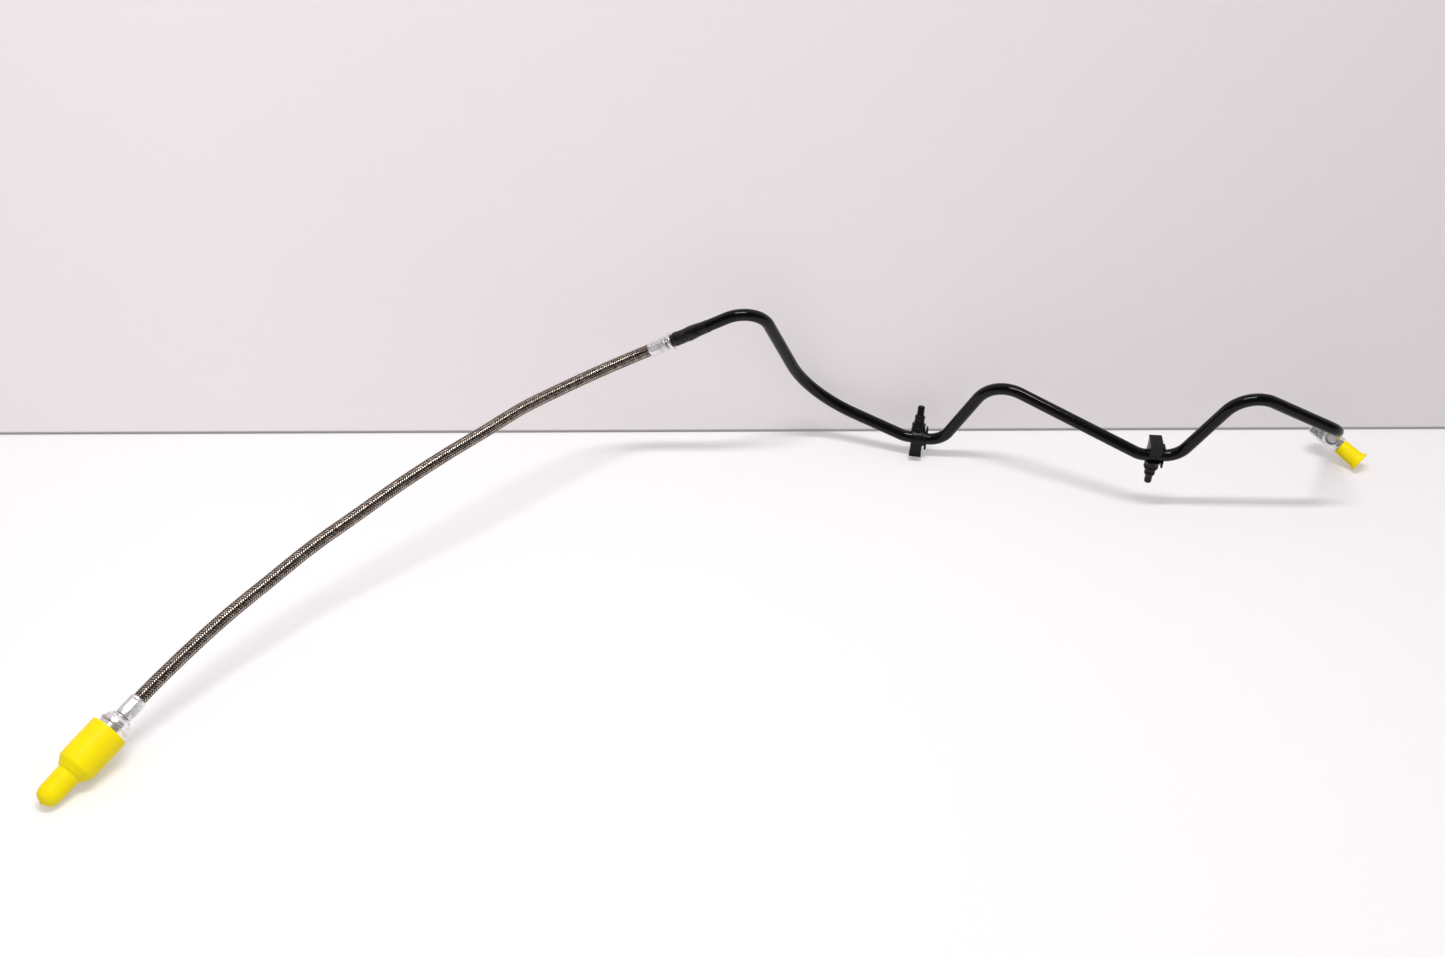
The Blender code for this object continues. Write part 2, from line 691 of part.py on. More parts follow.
def coupling_body(material):
    """The coupling's turned shell: a rear lip rolled over the hose insert, a locking groove and a probe."""
    dome = BODY_DOME_DIAMETER / 2
    rear = BODY_REAR_DIAMETER / 2
    bead = BEAD_DIAMETER / 2
    bead_end = BODY_DOME_LENGTH + BEAD_LENGTH
    barrel = BARREL_DIAMETER / 2
    ring = RING_DIAMETER / 2
    front = FRONT_DIAMETER / 2
    front_barrel = FRONT_BARREL_DIAMETER / 2
    probe = PROBE_DIAMETER / 2
    groove_end = PROBE_GROOVE_START + PROBE_GROOVE_LENGTH
    lock_groove = LOCK_GROOVE_DIAMETER / 2
    collar = BODY_COLLAR_DIAMETER / 2
    rounding = []
    for i in range(BODY_DOME_STEPS + 1):
        angle = math.pi / 2 * i / BODY_DOME_STEPS
        radius = rear + (dome - rear) * math.cos(angle)
        rounding.append((radius, BODY_DOME_LENGTH - (BODY_DOME_LENGTH - BODY_COLLAR_LENGTH) * math.sin(angle)))
    profile = [
        (PROBE_BORE / 2, PROBE_END),
        (probe - PROBE_CHAMFER, PROBE_END),
        (probe, PROBE_END - 2 * PROBE_CHAMFER),
        (probe, groove_end),
        (probe - PROBE_GROOVE_DEPTH, groove_end),
        (probe - PROBE_GROOVE_DEPTH, PROBE_GROOVE_START),
        (probe, PROBE_GROOVE_START),
        (probe, FRONT_FACE),
        (front - WIDE_EDGE, FRONT_FACE),
        (front, FRONT_FACE - WIDE_EDGE),
        (front, FRONT_BARREL_END),
        (front_barrel - WIDE_EDGE, FRONT_BARREL_END),
        (front_barrel, FRONT_BARREL_END - WIDE_EDGE),
        (front_barrel, LOCK_GROOVE_END),
        (lock_groove, LOCK_GROOVE_END),
        (lock_groove, RING_END),
        (ring, RING_END),
        (ring, RING_START),
        (barrel, RING_START),
        (barrel, bead_end),
        (bead - EDGE, bead_end),
        (bead, bead_end - EDGE),
        (bead, BODY_DOME_LENGTH + EDGE),
        (bead - EDGE, BODY_DOME_LENGTH),
    ]
    profile += rounding
    profile += [
        (collar, BODY_COLLAR_LENGTH),
        (collar, 0.0),
        (HEAD_NECK_DIAMETER / 2 + GAP, 0.0),
        (HEAD_NECK_DIAMETER / 2 + GAP, REAR_LIP),
        (HEAD_POCKET_RADIUS, REAR_LIP),
        (HEAD_POCKET_RADIUS, SPRING_SEAT_START),
        (CHAMBER_DIAMETER / 2, SPRING_SEAT_START),
        (CHAMBER_DIAMETER / 2, CHAMBER_END),
        (PROBE_BORE / 2, SEAT_CONE_END),
    ]
    return turned("coupling_body", profile, coupling_frame(), material)


def coupling_insert(material):
    """The hose's barbed end, with the sealed head that turns in the coupling's body."""
    ferrule_end = -COUPLING_FERRULE_GAP
    seat = ferrule_end - FERRULE_LENGTH + HOSE_SEAT + GAP
    head = HEAD_DIAMETER / 2
    groove_low = HEAD_START + HEAD_GROOVE_START
    groove_high = groove_low + HEAD_GROOVE_LENGTH
    groove_floor = HEAD_POCKET_RADIUS - GAP - HEAD_SEAL_SECTION - GAP
    well = VALVE_STEM_RADIUS + HEAD_WELL_CLEARANCE
    well_start = HEAD_START + HEAD_WELL_START
    profile = [
        (well, HEAD_END),
        (head - EDGE, HEAD_END),
        (head, HEAD_END - EDGE),
        (head, groove_high),
        (groove_floor, groove_high),
        (groove_floor, groove_low),
        (head, groove_low),
        (head, HEAD_START + EDGE),
        (head - EDGE, HEAD_START),
        (HEAD_NECK_DIAMETER / 2, HEAD_START),
        (HEAD_NECK_DIAMETER / 2, ferrule_end + GAP),
        (NECK_RADIUS, ferrule_end + GAP),
        (NECK_RADIUS, seat),
    ]
    profile += barbed_stem(seat)
    profile += [(STEM_BORE_RADIUS, well_start), (well, well_start + HEAD_WELL_CONE)]
    return turned("coupling_insert", profile, coupling_frame(), material, steps=INNER_STEPS)


def insert_seal(material):
    middle = HEAD_START + HEAD_GROOVE_START + HEAD_GROOVE_LENGTH / 2
    radius = HEAD_POCKET_RADIUS - GAP - HEAD_SEAL_SECTION / 2
    return ring_seal("insert_seal", radius, HEAD_SEAL_SECTION, middle, coupling_frame(), material)


def spring_seat(material):
    """A guide washer for the valve's stem, with notches round its rim for the fluid."""
    frame = coupling_frame()
    rim = SPRING_SEAT_DIAMETER / 2
    hole = VALVE_STEM_RADIUS + GAP
    profile = [
        (hole, SPRING_SEAT_END),
        (rim, SPRING_SEAT_END),
        (rim, SPRING_SEAT_START),
        (hole, SPRING_SEAT_START),
    ]
    obj = link("spring_seat", turned_mesh("spring_seat", profile), frame, PARTS)
    low = SPRING_SEAT_START - GAP
    high = SPRING_SEAT_END + GAP
    for i in range(SPRING_SEAT_NOTCHES):
        turn = SPRING_SEAT_NOTCH_TURN + math.tau * i / SPRING_SEAT_NOTCHES
        spin = Matrix.Rotation(turn, 4, "Z")
        mesh = cylinder_mesh("notch", SPRING_SEAT_NOTCH_RADIUS, low, high, SPRING_SIDES)
        notch = helper("seat_notch", mesh, frame @ spin @ Matrix.Translation((rim, 0, 0)))
        boolean(obj, notch, "DIFFERENCE")
    return settle(obj, material)


def valve_spring(material):
    """A compression spring with a closer turn at each end."""
    low = SPRING_SEAT_END + GAP + SPRING_WIRE / 2
    high = VALVE_HEAD_REAR - GAP - SPRING_WIRE / 2
    end_pitch = SPRING_WIRE * SPRING_END_PITCH
    main_pitch = (high - low - 2 * end_pitch) / (SPRING_TURNS - 2)
    points = []
    for i in range(SPRING_TURNS * SPRING_POINTS_PER_TURN + 1):
        turns = i / SPRING_POINTS_PER_TURN
        height = low + end_pitch * min(turns, 1.0)
        height += main_pitch * min(max(turns - 1.0, 0.0), SPRING_TURNS - 2)
        height += end_pitch * max(turns - (SPRING_TURNS - 1), 0.0)
        angle = math.tau * turns
        radius = SPRING_MEAN_DIAMETER / 2
        points.append(Vector((radius * math.cos(angle), radius * math.sin(angle), height)))
    mesh = swept_mesh("valve_spring", points, SPRING_WIRE, SPRING_SIDES, caps=True)
    return settle(link("valve_spring", mesh, coupling_frame(), PARTS), material)


def valve_poppet(material):
    """The valve that the other half's pin pushes open: guide stem, head with a seal groove, cone and pin."""
    head = VALVE_HEAD_DIAMETER / 2
    groove_end = VALVE_GROOVE_START + VALVE_GROOVE_LENGTH
    lip = VALVE_LIP_DIAMETER / 2
    slope = (SEAT_CONE_END - CHAMBER_END) / (CHAMBER_DIAMETER / 2 - PROBE_BORE / 2)
    cone_end = groove_end + (lip - VALVE_STEM_RADIUS) * slope
    profile = [
        (0.0, VALVE_PIN_END),
        (VALVE_STEM_RADIUS - VALVE_TIP_CHAMFER, VALVE_PIN_END),
        (VALVE_STEM_RADIUS, VALVE_PIN_END - VALVE_TIP_CHAMFER),
        (VALVE_STEM_RADIUS, cone_end),
        (lip, groove_end),
        (VALVE_GROOVE_FLOOR / 2, groove_end),
        (VALVE_GROOVE_FLOOR / 2, VALVE_GROOVE_START),
        (head, VALVE_GROOVE_START),
        (head, VALVE_HEAD_REAR),
        (VALVE_STEM_RADIUS, VALVE_HEAD_REAR),
        (VALVE_STEM_RADIUS, VALVE_STEM_END + VALVE_TIP_CHAMFER),
        (VALVE_STEM_RADIUS - VALVE_TIP_CHAMFER, VALVE_STEM_END),
        (0.0, VALVE_STEM_END),
    ]
    return turned("valve_poppet", profile, coupling_frame(), material, False, INNER_STEPS)


def poppet_seal(material):
    middle = VALVE_GROOVE_START + VALVE_GROOVE_LENGTH / 2
    return ring_seal(
        "poppet_seal", VALVE_SEAL_DIAMETER / 2, VALVE_SEAL_SECTION, middle, coupling_frame(), material
    )


def probe_seal(material):
    middle = PROBE_GROOVE_START + PROBE_GROOVE_LENGTH / 2
    radius = PROBE_DIAMETER / 2 - PROBE_GROOVE_DEPTH + GAP + PROBE_SEAL_SECTION / 2
    return ring_seal("probe_seal", radius, PROBE_SEAL_SECTION, middle, coupling_frame(), material)


def slave_cap(material):
    """The moulded cap over the coupling: a wide sleeve, a rounded shoulder and a closed nose."""
    nose = SLAVE_CAP_NOSE_DIAMETER / 2
    nose_bore = nose - SLAVE_CAP_NOSE_WALL
    nib = SLAVE_CAP_NIB_DIAMETER / 2
    nib_top = SLAVE_CAP_NIB_TOP_DIAMETER / 2
    nib_end = SLAVE_CAP_END + SLAVE_CAP_NIB_LENGTH
    fillet = SLAVE_CAP_FILLET
    inner = SLAVE_CAP_INNER_RADIUS
    nose_centre = nose - SLAVE_CAP_NOSE_RADIUS
    shoulder_centre = SLAVE_CAP_RADIUS - SLAVE_CAP_SHOULDER_RADIUS
    shoulder_low = SLAVE_CAP_SHOULDER - SLAVE_CAP_SHOULDER_RADIUS
    inner_shoulder = SLAVE_CAP_SHOULDER - SLAVE_CAP_NOSE_WALL
    inner_end = SLAVE_CAP_END - SLAVE_CAP_END_WALL
    profile = [(0.0, nib_end), (nib_top, nib_end), (nib, SLAVE_CAP_END)]
    profile += arc(nose_centre, SLAVE_CAP_END - SLAVE_CAP_NOSE_RADIUS, SLAVE_CAP_NOSE_RADIUS, 90, 0)
    profile += arc(nose + fillet, SLAVE_CAP_SHOULDER + fillet, fillet, 180, 270, 3)
    profile += arc(shoulder_centre, shoulder_low, SLAVE_CAP_SHOULDER_RADIUS, 90, 0)
    profile += [
        (SLAVE_CAP_RADIUS, SLAVE_CAP_MOUTH + SLAVE_CAP_EDGE),
        (SLAVE_CAP_RADIUS - SLAVE_CAP_EDGE, SLAVE_CAP_MOUTH),
        (SLAVE_CAP_BORE_RADIUS, SLAVE_CAP_MOUTH),
    ]
    profile += arc(SLAVE_CAP_BORE_RADIUS - inner, inner_shoulder - inner, inner, 0, 90, 3)
    profile += [
        (nose_bore, inner_shoulder),
        (nose_bore, inner_end - SLAVE_CAP_INNER_CORNER),
        (nose_bore - SLAVE_CAP_INNER_CORNER, inner_end),
        (0.0, inner_end),
    ]
    return turned("slave_cap", profile, coupling_frame(), material, closed=False)


def master_fitting(material):
    """The elbow: a turned spigot body with a rear lug, and an inlet boss with a socket for the pipe."""
    frame = fitting_frame()
    body = FITTING_DIAMETER / 2
    spigot = SPIGOT_DIAMETER / 2
    pin_floor = spigot - PIN_GROOVE_DEPTH
    pin_end = PIN_GROOVE_START + PIN_GROOVE_LENGTH
    profile = [
        (0.0, SPIGOT_END),
        (spigot - SPIGOT_CHAMFER, SPIGOT_END),
        (spigot, SPIGOT_END - SPIGOT_CHAMFER),
        (spigot, pin_end),
        (pin_floor, pin_end),
        (pin_floor, PIN_GROOVE_START),
        (spigot, PIN_GROOVE_START),
        (spigot, FITTING_SHOULDER),
        (body - FITTING_EDGE, FITTING_SHOULDER),
        (body, FITTING_SHOULDER - FITTING_EDGE),
        (body, FITTING_REAR),
        (0.0, FITTING_REAR),
    ]
    obj = link("master_fitting", turned_mesh("spigot_body", profile, closed=False), frame, PARTS)
    low = (-LUG_THICKNESS / 2, -LUG_WIDTH / 2, LUG_REAR)
    high = (LUG_THICKNESS / 2, LUG_WIDTH / 2, LUG_FRONT)
    lug = helper("lug", box_mesh("lug", low, high), frame)
    bevel(lug, LUG_EDGE)
    boolean(obj, lug, "UNION")
    inlet = frame @ Matrix.Rotation(math.pi / 2, 4, "Y")
    boss_radius = BOSS_DIAMETER / 2
    socket_radius = PIPE_RADIUS + GAP
    socket_floor = BOSS_END - SOCKET_DEPTH
    boss_profile = [
        (0.0, socket_floor),
        (socket_radius, socket_floor),
        (socket_radius, BOSS_END),
        (boss_radius - FITTING_EDGE, BOSS_END),
        (boss_radius, BOSS_END - FITTING_EDGE),
        (boss_radius, 0.0),
        (0.0, 0.0),
    ]
    boss = helper("inlet_boss", turned_mesh("inlet_boss", boss_profile, closed=False), inlet)
    boolean(obj, boss, "UNION")
    bore = SPIGOT_BORE / 2
    cuts = [
        ("inlet_bore", inlet, bore, 0.0, BOSS_END),
        ("spigot_bore", frame, bore, -bore - DRILL_POINT, SPIGOT_END + OVERRUN),
        ("plug_recess", plug_frame(), plug_recess_radius(), -PLUG_HEAD_LENGTH - GAP, OVERRUN),
        ("plug_hole", plug_frame(), PLUG_SHANK_DIAMETER / 2 + GAP, plug_hole_floor(), OVERRUN),
    ]
    for name, place, radius, start, end in cuts:
        cutter = helper(name, cylinder_mesh(name, radius, start, end), place)
        boolean(obj, cutter, "DIFFERENCE")
    return settle(obj, material)


def plug_frame():
    """On the lug's upper face, with z out of the face."""
    face = fitting_frame() @ Matrix.Translation((LUG_THICKNESS / 2, PLUG_Y, PLUG_Z))
    return face @ Matrix.Rotation(math.pi / 2, 4, "Y")


def plug_recess_radius():
    return PLUG_HEAD_DIAMETER / 2 + PLUG_RECESS_MARGIN


def plug_hole_floor():
    return -PLUG_HEAD_LENGTH - PLUG_SHANK_LENGTH - 2 * GAP


def fitting_plug(material):
    """The pressed plug that closes the cross drilling in the lug."""
    head = PLUG_HEAD_DIAMETER / 2
    shank = PLUG_SHANK_DIAMETER / 2
    shank_end = -PLUG_HEAD_LENGTH - PLUG_SHANK_LENGTH
    profile = [
        (0.0, -PLUG_RIM_HEIGHT),
        (PLUG_DISH_FLOOR_DIAMETER / 2, -PLUG_RIM_HEIGHT),
        (PLUG_DISH_DIAMETER / 2, PLUG_RIM_HEIGHT),
        (head - FINE_EDGE, PLUG_RIM_HEIGHT),
        (head, PLUG_RIM_HEIGHT - FINE_EDGE),
        (head, -PLUG_HEAD_LENGTH),
        (shank, -PLUG_HEAD_LENGTH),
        (shank, shank_end + EDGE),
        (shank - EDGE, shank_end),
        (0.0, shank_end),
    ]
    return turned("fitting_plug", profile, plug_frame(), material, False, INNER_STEPS)


def master_cap(material):
    """The moulded cap over the spigot, with a flared rim round its dished end."""
    inner = SPIGOT_DIAMETER / 2 + GAP
    outer = inner + MASTER_CAP_WALL
    wide = outer + MASTER_CAP_TAPER
    rim = MASTER_CAP_RIM_DIAMETER / 2
    rim_inner = rim - MASTER_CAP_RIM_TOP_WIDTH
    rim_low = MASTER_CAP_END - MASTER_CAP_RIM_THICKNESS
    dish = MASTER_CAP_END - MASTER_CAP_DISH
    mouth = FITTING_SHOULDER + GAP
    inner_end = dish - MASTER_CAP_END_WALL
    profile = [
        (0.0, dish),
        (rim_inner - MASTER_CAP_DISH, dish),
        (rim_inner, MASTER_CAP_END),
        (rim - EDGE, MASTER_CAP_END),
        (rim, MASTER_CAP_END - EDGE),
        (rim, rim_low + EDGE),
        (rim - EDGE, rim_low),
        (wide + FINE_EDGE, MASTER_CAP_FLARE_START + MASTER_CAP_FLARE_CURVE),
        (wide, MASTER_CAP_FLARE_START),
        (outer, mouth + EDGE),
        (outer - FINE_EDGE, mouth),
        (inner, mouth),
        (inner, inner_end),
        (0.0, inner_end),
    ]
    return turned("master_cap", profile, fitting_frame(), material, closed=False)


def clip_stud_mesh():
    """The stud that pushes into a panel: two ribbed tiers and a rounded lead-in pin."""
    lower = STUD_LOWER_DIAMETER / 2
    upper = STUD_UPPER_DIAMETER / 2
    pin = STUD_PIN_DIAMETER / 2
    lower_middle = (STUD_LOWER_START + STUD_BARE_LENGTH + STUD_LOWER_END) / 2
    upper_middle = (STUD_LOWER_END + STUD_UPPER_END) / 2
    profile = [(0.0, STUD_PIN_END)]
    profile += arc(pin - STUD_TIP_RADIUS, STUD_PIN_END - STUD_TIP_RADIUS, STUD_TIP_RADIUS, 90, 0, 4)
    profile += [
        (pin, STUD_UPPER_END),
        (upper - STUD_RIB_DEPTH, STUD_UPPER_END),
        (upper, STUD_UPPER_END - STUD_RIB_SLOPE),
        (upper, upper_middle + STUD_RIB_STEP),
        (upper - STUD_RIB_DEPTH, upper_middle),
        (upper, upper_middle - STUD_RIB_SLOPE),
        (upper, STUD_LOWER_END),
        (lower - EDGE, STUD_LOWER_END),
        (lower, STUD_LOWER_END - EDGE),
        (lower, lower_middle + STUD_RIB_STEP),
        (lower - STUD_RIB_DEPTH, lower_middle),
        (lower, lower_middle - STUD_RIB_SLOPE),
        (lower, STUD_LOWER_START),
        (0.0, STUD_LOWER_START),
    ]
    return turned_mesh("clip_stud", profile, closed=False, steps=INNER_STEPS)


def pipe_clip(name, frame, material):
    """A moulded clip: a collar that snaps on the pipe, a square base with a foot, a stud and a thin wing."""
    along = frame @ Matrix.Rotation(math.pi / 2, 4, "Y")
    half = CLIP_WIDTH / 2
    span = CLIP_BASE_SPAN / 2
    wing_end = CLIP_WING_OFFSET + CLIP_WING_THICKNESS
    wing_span = CLIP_WING_SPAN / 2
    ledge = CLIP_FOOT_LEDGE
    reach = wing_end + OVERRUN
    slot_half = CLIP_SLOT / 2
    obj = link(name, cylinder_mesh("collar", CLIP_COLLAR_RADIUS, -half, half, INNER_STEPS), along, PARTS)
    base = helper("base", box_mesh("base", (-half, -span, -CLIP_FOOT), (half, span, 0.0)), frame)
    bevel(base, CLIP_BASE_EDGE)
    foot_low = (-half - ledge, -span - ledge, -CLIP_FOOT)
    foot_high = (half + ledge, span + ledge, -CLIP_BASE_DEPTH)
    foot = helper("foot", box_mesh("foot", foot_low, foot_high), frame)
    bevel(foot, CLIP_FOOT_THICKNESS / 4, 1)
    stud = helper("stud", clip_stud_mesh(), frame)
    sleeve_radius = CLIP_BORE_RADIUS + CLIP_SLEEVE_WALL
    sleeve = helper("sleeve", cylinder_mesh("sleeve", sleeve_radius, 0.0, wing_end - FINE_EDGE, INNER_STEPS), along)
    wing_low = (CLIP_WING_OFFSET, -wing_span, CLIP_WING_LOW)
    wing_high = (wing_end, wing_span, CLIP_WING_TOP)
    wing = helper("wing", box_mesh("wing", wing_low, wing_high), frame)
    bevel(wing, CLIP_WING_THICKNESS / 4, 1)
    for shape in (base, foot, stud, sleeve, wing):
        boolean(obj, shape, "UNION")
    bore = helper("bore", cylinder_mesh("bore", CLIP_BORE_RADIUS, -reach, reach, INNER_STEPS), along)
    slot_box = box_mesh("slot", (-reach, 0.0, -slot_half), (reach, span + OVERRUN, slot_half))
    slot = helper("slot", slot_box, frame)
    boolean(obj, bore, "DIFFERENCE")
    boolean(obj, slot, "DIFFERENCE")
    settle(obj, material)
    return set_origin(obj, frame)


def set_origin(obj, frame):
    """Give the object a new frame and leave its mesh where it is in the world."""
    obj.data.transform(frame.inverted() @ obj.matrix_world)
    obj.matrix_world = frame
    return obj


def build():
    black_paint = new_material("black_paint", (0.012, 0.012, 0.013), 0.22)
    black_sleeve = new_material("black_sleeve", (0.018, 0.018, 0.019), 0.65)
    zinc = new_material("zinc_plate", (0.62, 0.62, 0.63), 0.3, 1.0)
    steel = new_material("steel", (0.45, 0.45, 0.46), 0.25, 1.0)
    braid = new_material("braid", (0.16, 0.12, 0.10), 0.4, 0.6)
    rubber = new_material("rubber", (0.015, 0.015, 0.015), 0.6)
    nylon = new_material("black_nylon", (0.03, 0.03, 0.033), 0.45)
    vinyl = new_material("yellow_vinyl", (0.82, 0.66, 0.01), 0.4)

    steel_pipe(black_paint)
    heat_shrink(black_sleeve)
    pipe_insert(zinc)
    crimped_ferrule("pipe_ferrule", shifted(joint_frame(), -JOINT_FERRULE_BACK), zinc)
    braided_hose(braid)

    hose_end = -FERRULE_LENGTH - COUPLING_FERRULE_GAP
    crimped_ferrule("coupling_ferrule", shifted(coupling_frame(), hose_end), zinc)
    coupling_insert(zinc)
    insert_seal(rubber)
    coupling_body(zinc)
    spring_seat(steel)
    valve_spring(steel)
    valve_poppet(steel)
    poppet_seal(rubber)
    probe_seal(rubber)
    slave_cap(vinyl)

    master_fitting(zinc)
    fitting_plug(steel)
    master_cap(vinyl)

    pipe_clip("lower_clip", clip_frame(2, LOWER_CLIP_STUD), nylon)
    pipe_clip("upper_clip", clip_frame(5, UPPER_CLIP_STUD), nylon)


clear_scene()
PARTS = new_collection("clutch_line")
CUTTERS = new_collection("cutters")
build()
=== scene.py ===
"""The looks of a hydraulic clutch line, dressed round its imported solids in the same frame."""

import math

import bmesh
import bpy
import numpy as np
from mathutils import Matrix, Vector, noise


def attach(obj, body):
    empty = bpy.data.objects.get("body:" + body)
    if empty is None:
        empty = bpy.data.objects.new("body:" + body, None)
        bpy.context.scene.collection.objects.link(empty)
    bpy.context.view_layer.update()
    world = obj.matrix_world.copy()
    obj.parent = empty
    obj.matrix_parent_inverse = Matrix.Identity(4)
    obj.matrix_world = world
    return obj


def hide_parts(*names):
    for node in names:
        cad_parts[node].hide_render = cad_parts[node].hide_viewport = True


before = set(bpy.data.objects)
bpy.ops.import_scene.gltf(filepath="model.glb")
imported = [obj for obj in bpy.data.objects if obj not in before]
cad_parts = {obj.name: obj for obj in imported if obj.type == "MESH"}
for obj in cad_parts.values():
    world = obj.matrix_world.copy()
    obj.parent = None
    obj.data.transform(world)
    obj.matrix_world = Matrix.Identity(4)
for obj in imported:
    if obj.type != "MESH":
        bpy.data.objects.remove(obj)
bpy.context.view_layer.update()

# Camera
CAMERA_PLACE = Vector((-0.202, -0.953, 0.712))
CAMERA_PITCH = math.radians(53.2)
LENS = 42.13
SENSOR = 36.0

# Light: a long tube lamp and a surround, dimmer in reflections
LAMP_PLACE = Vector((-0.14, -0.30, 1.6))
LAMP_TARGET = Vector((-0.14, -0.03, 0.03))
LAMP_LENGTH = 0.85
LAMP_WIDTH = 0.11
LAMP_POWER = 15.0
SURROUND = 0.62
SURROUND_IN_REFLECTIONS = 0.12

# Stage: where the board stands and how far it slants back to the right, the dark line at its foot,
# the white that is seen and lights nothing, and the colours at the left and the right: painted shade
# that darkens the floor and board to the right
STAGE_REACH = 3.0
BOARD_FOOT = 0.0571
BOARD_SLANT = 0.0068
FOOT_LINE_HEIGHT = 0.0022
FOOT_LINE_PROUD = 0.0002
FLOOR_GLOW = 0.31
BOARD_GLOW = 0.27
STAGE_PAINTED_FALLOFF = (-0.55, 0.45)
FLOOR_COLOURS = ((0.66, 0.655, 0.655), (0.585, 0.56, 0.57))
BOARD_COLOURS = ((0.74, 0.675, 0.69), (0.51, 0.47, 0.485))
FOOT_LINE_COLOURS = ((0.08, 0.055, 0.06), (0.08, 0.055, 0.06))

# Fineness of the surfaces
TURN_STEPS = 96
FILLET_STEPS = 5
PIPE_SIDES = 48
BEND_STEP = math.radians(3)
FERRULE_STEPS = 160
SHARP_ANGLE = math.radians(35)
LEAST_TURN = 0.05
LONGEST_FILLET = 0.48
WELD = 0.000002

# Clearance between touching pieces, and how far a cut runs past them
GAP = 0.0003
OVERRUN = 0.001

# Pipe: where it leaves the hose joint, the corners of its centreline with their bend radii, and
# where it meets the elbow
PIPE_RADIUS = 0.0041
PIPE_WALL = 0.0008
JOINT_POINT = Vector((-0.248, 0.018, 0.096))
PIPE_BENDS = [
    (Vector((-0.1790, 0.0090, 0.1350)), 0.020),
    (Vector((-0.1412, 0.0507, 0.0381)), 0.062),
    (Vector((-0.0723, 0.0300, 0.0146)), 0.020),
    (Vector((-0.0468, 0.0262, 0.0131)), 0.016),
    (Vector((-0.0165, 0.0130, 0.0734)), 0.026),
    (Vector((0.0787, -0.0326, 0.0438)), 0.016),
    (Vector((0.1034, -0.0342, 0.0435)), 0.016),
    (Vector((0.1373, -0.0456, 0.1036)), 0.022),
    (Vector((0.2040, -0.0410, 0.0690)), 0.015),
]
ELBOW_POINT = Vector((0.2298, 0.0236, 0.01635))

# Hose: its route between the two ferrules, the points that the solid follows too
HOSE_DIAMETER = 0.0086
HOSE_CRIMPED_DIAMETER = 0.0078
HOSE_STEP = 0.002
FERRULE_HOSE_STEPS = 6
HOSE_CURVE_STEPS = 20
HOSE_SIDES = 32
HOSE_ROUTE = [
    Vector((-0.517, -0.221, 0.036)),
    Vector((-0.497, -0.195, 0.043)),
    Vector((-0.476, -0.170, 0.049)),
    Vector((-0.454, -0.146, 0.056)),
    Vector((-0.430, -0.124, 0.063)),
    Vector((-0.406, -0.102, 0.070)),
    Vector((-0.381, -0.080, 0.076)),
    Vector((-0.355, -0.056, 0.080)),
    Vector((-0.334, -0.034, 0.082)),
    Vector((-0.310, -0.011, 0.082)),
    Vector((-0.280, 0.012, 0.084)),
]

# Braid: flat strands of wire wound both ways, each over two and under two of the others. A strand's
# section is given by its points' places across its width and their heights in thicknesses, and its
# tone by a level, a chance part and a part that follows its rise and fall, which is painted light
# and shade
STRANDS_EACH_WAY = 12
BRAID_LAY = 0.019
BRAID_RADIUS = 0.00398
BRAID_RISE = 0.00012
STRAND_WIDTH = 0.00102
STRAND_THICKNESS = 0.00012
STRAND_POINTS_PER_TURN = 48
STRAND_ACROSS = np.array([-0.5, -0.3, 0.0, 0.3, 0.5, 0.25, -0.25])
STRAND_CROWN = np.array([0.3, 0.85, 1.0, 0.85, 0.3, -0.2, -0.2])
STRAND_WIRES = 5
TONE_LEVEL = 0.38
TONE_CHANCE = 0.12
PAINTED_RISE_LIGHT = 0.26
BRAID_IN_FERRULE = 0.0030
BRAID_TAPER = 0.0016
BRAID_SQUEEZE = 0.6
CORE_RADIUS = 0.00378

# Ferrules and the barbed stems in them
FERRULE_LENGTH = 0.0130
FERRULE_WALL = 0.00085
FERRULE_END_WALL = 0.0008
FERRULE_FLATS = 8
FERRULE_ROWS = 40
CRIMP_DEPTH = 0.00035
CRIMP_START = 0.0018
CRIMP_LENGTH = 0.0085
CRIMP_RAMP = 0.0007
NECK_RADIUS = 0.0026
STEM_BORE_RADIUS = 0.0008
STEM_BARBS = 3
STEM_BARB_PITCH = 0.0030
STEM_BARB_HEIGHT = 0.0003
STEM_BARB_RAMP = 0.0022
STEM_ROOT_RADIUS = NECK_RADIUS - 0.0013
STEM_ROOT_LENGTH = 0.0010
STEM_TIP_SETBACK = 0.0010

# Joint of hose and pipe, local z = 0 at the joint's point
JOINT_FERRULE_BACK = 0.0030
FLANGE_START = 0.0125
FLANGE_LENGTH = 0.0020
FLANGE_RADIUS = 0.00615
SPIGOT_IN_PIPE_LENGTH = 0.0100
SHRINK_START = 0.0157
SHRINK_LENGTH = 0.0265
SHRINK_WALL = 0.0005
SHRINK_ROWS = 54
SHRINK_STEPS = 64
SHRINK_SWELL = 0.001
SHRINK_WRINKLE = 0.00034
SHRINK_TIGHTENS = (SHRINK_START + 0.011, SHRINK_START + 0.019)

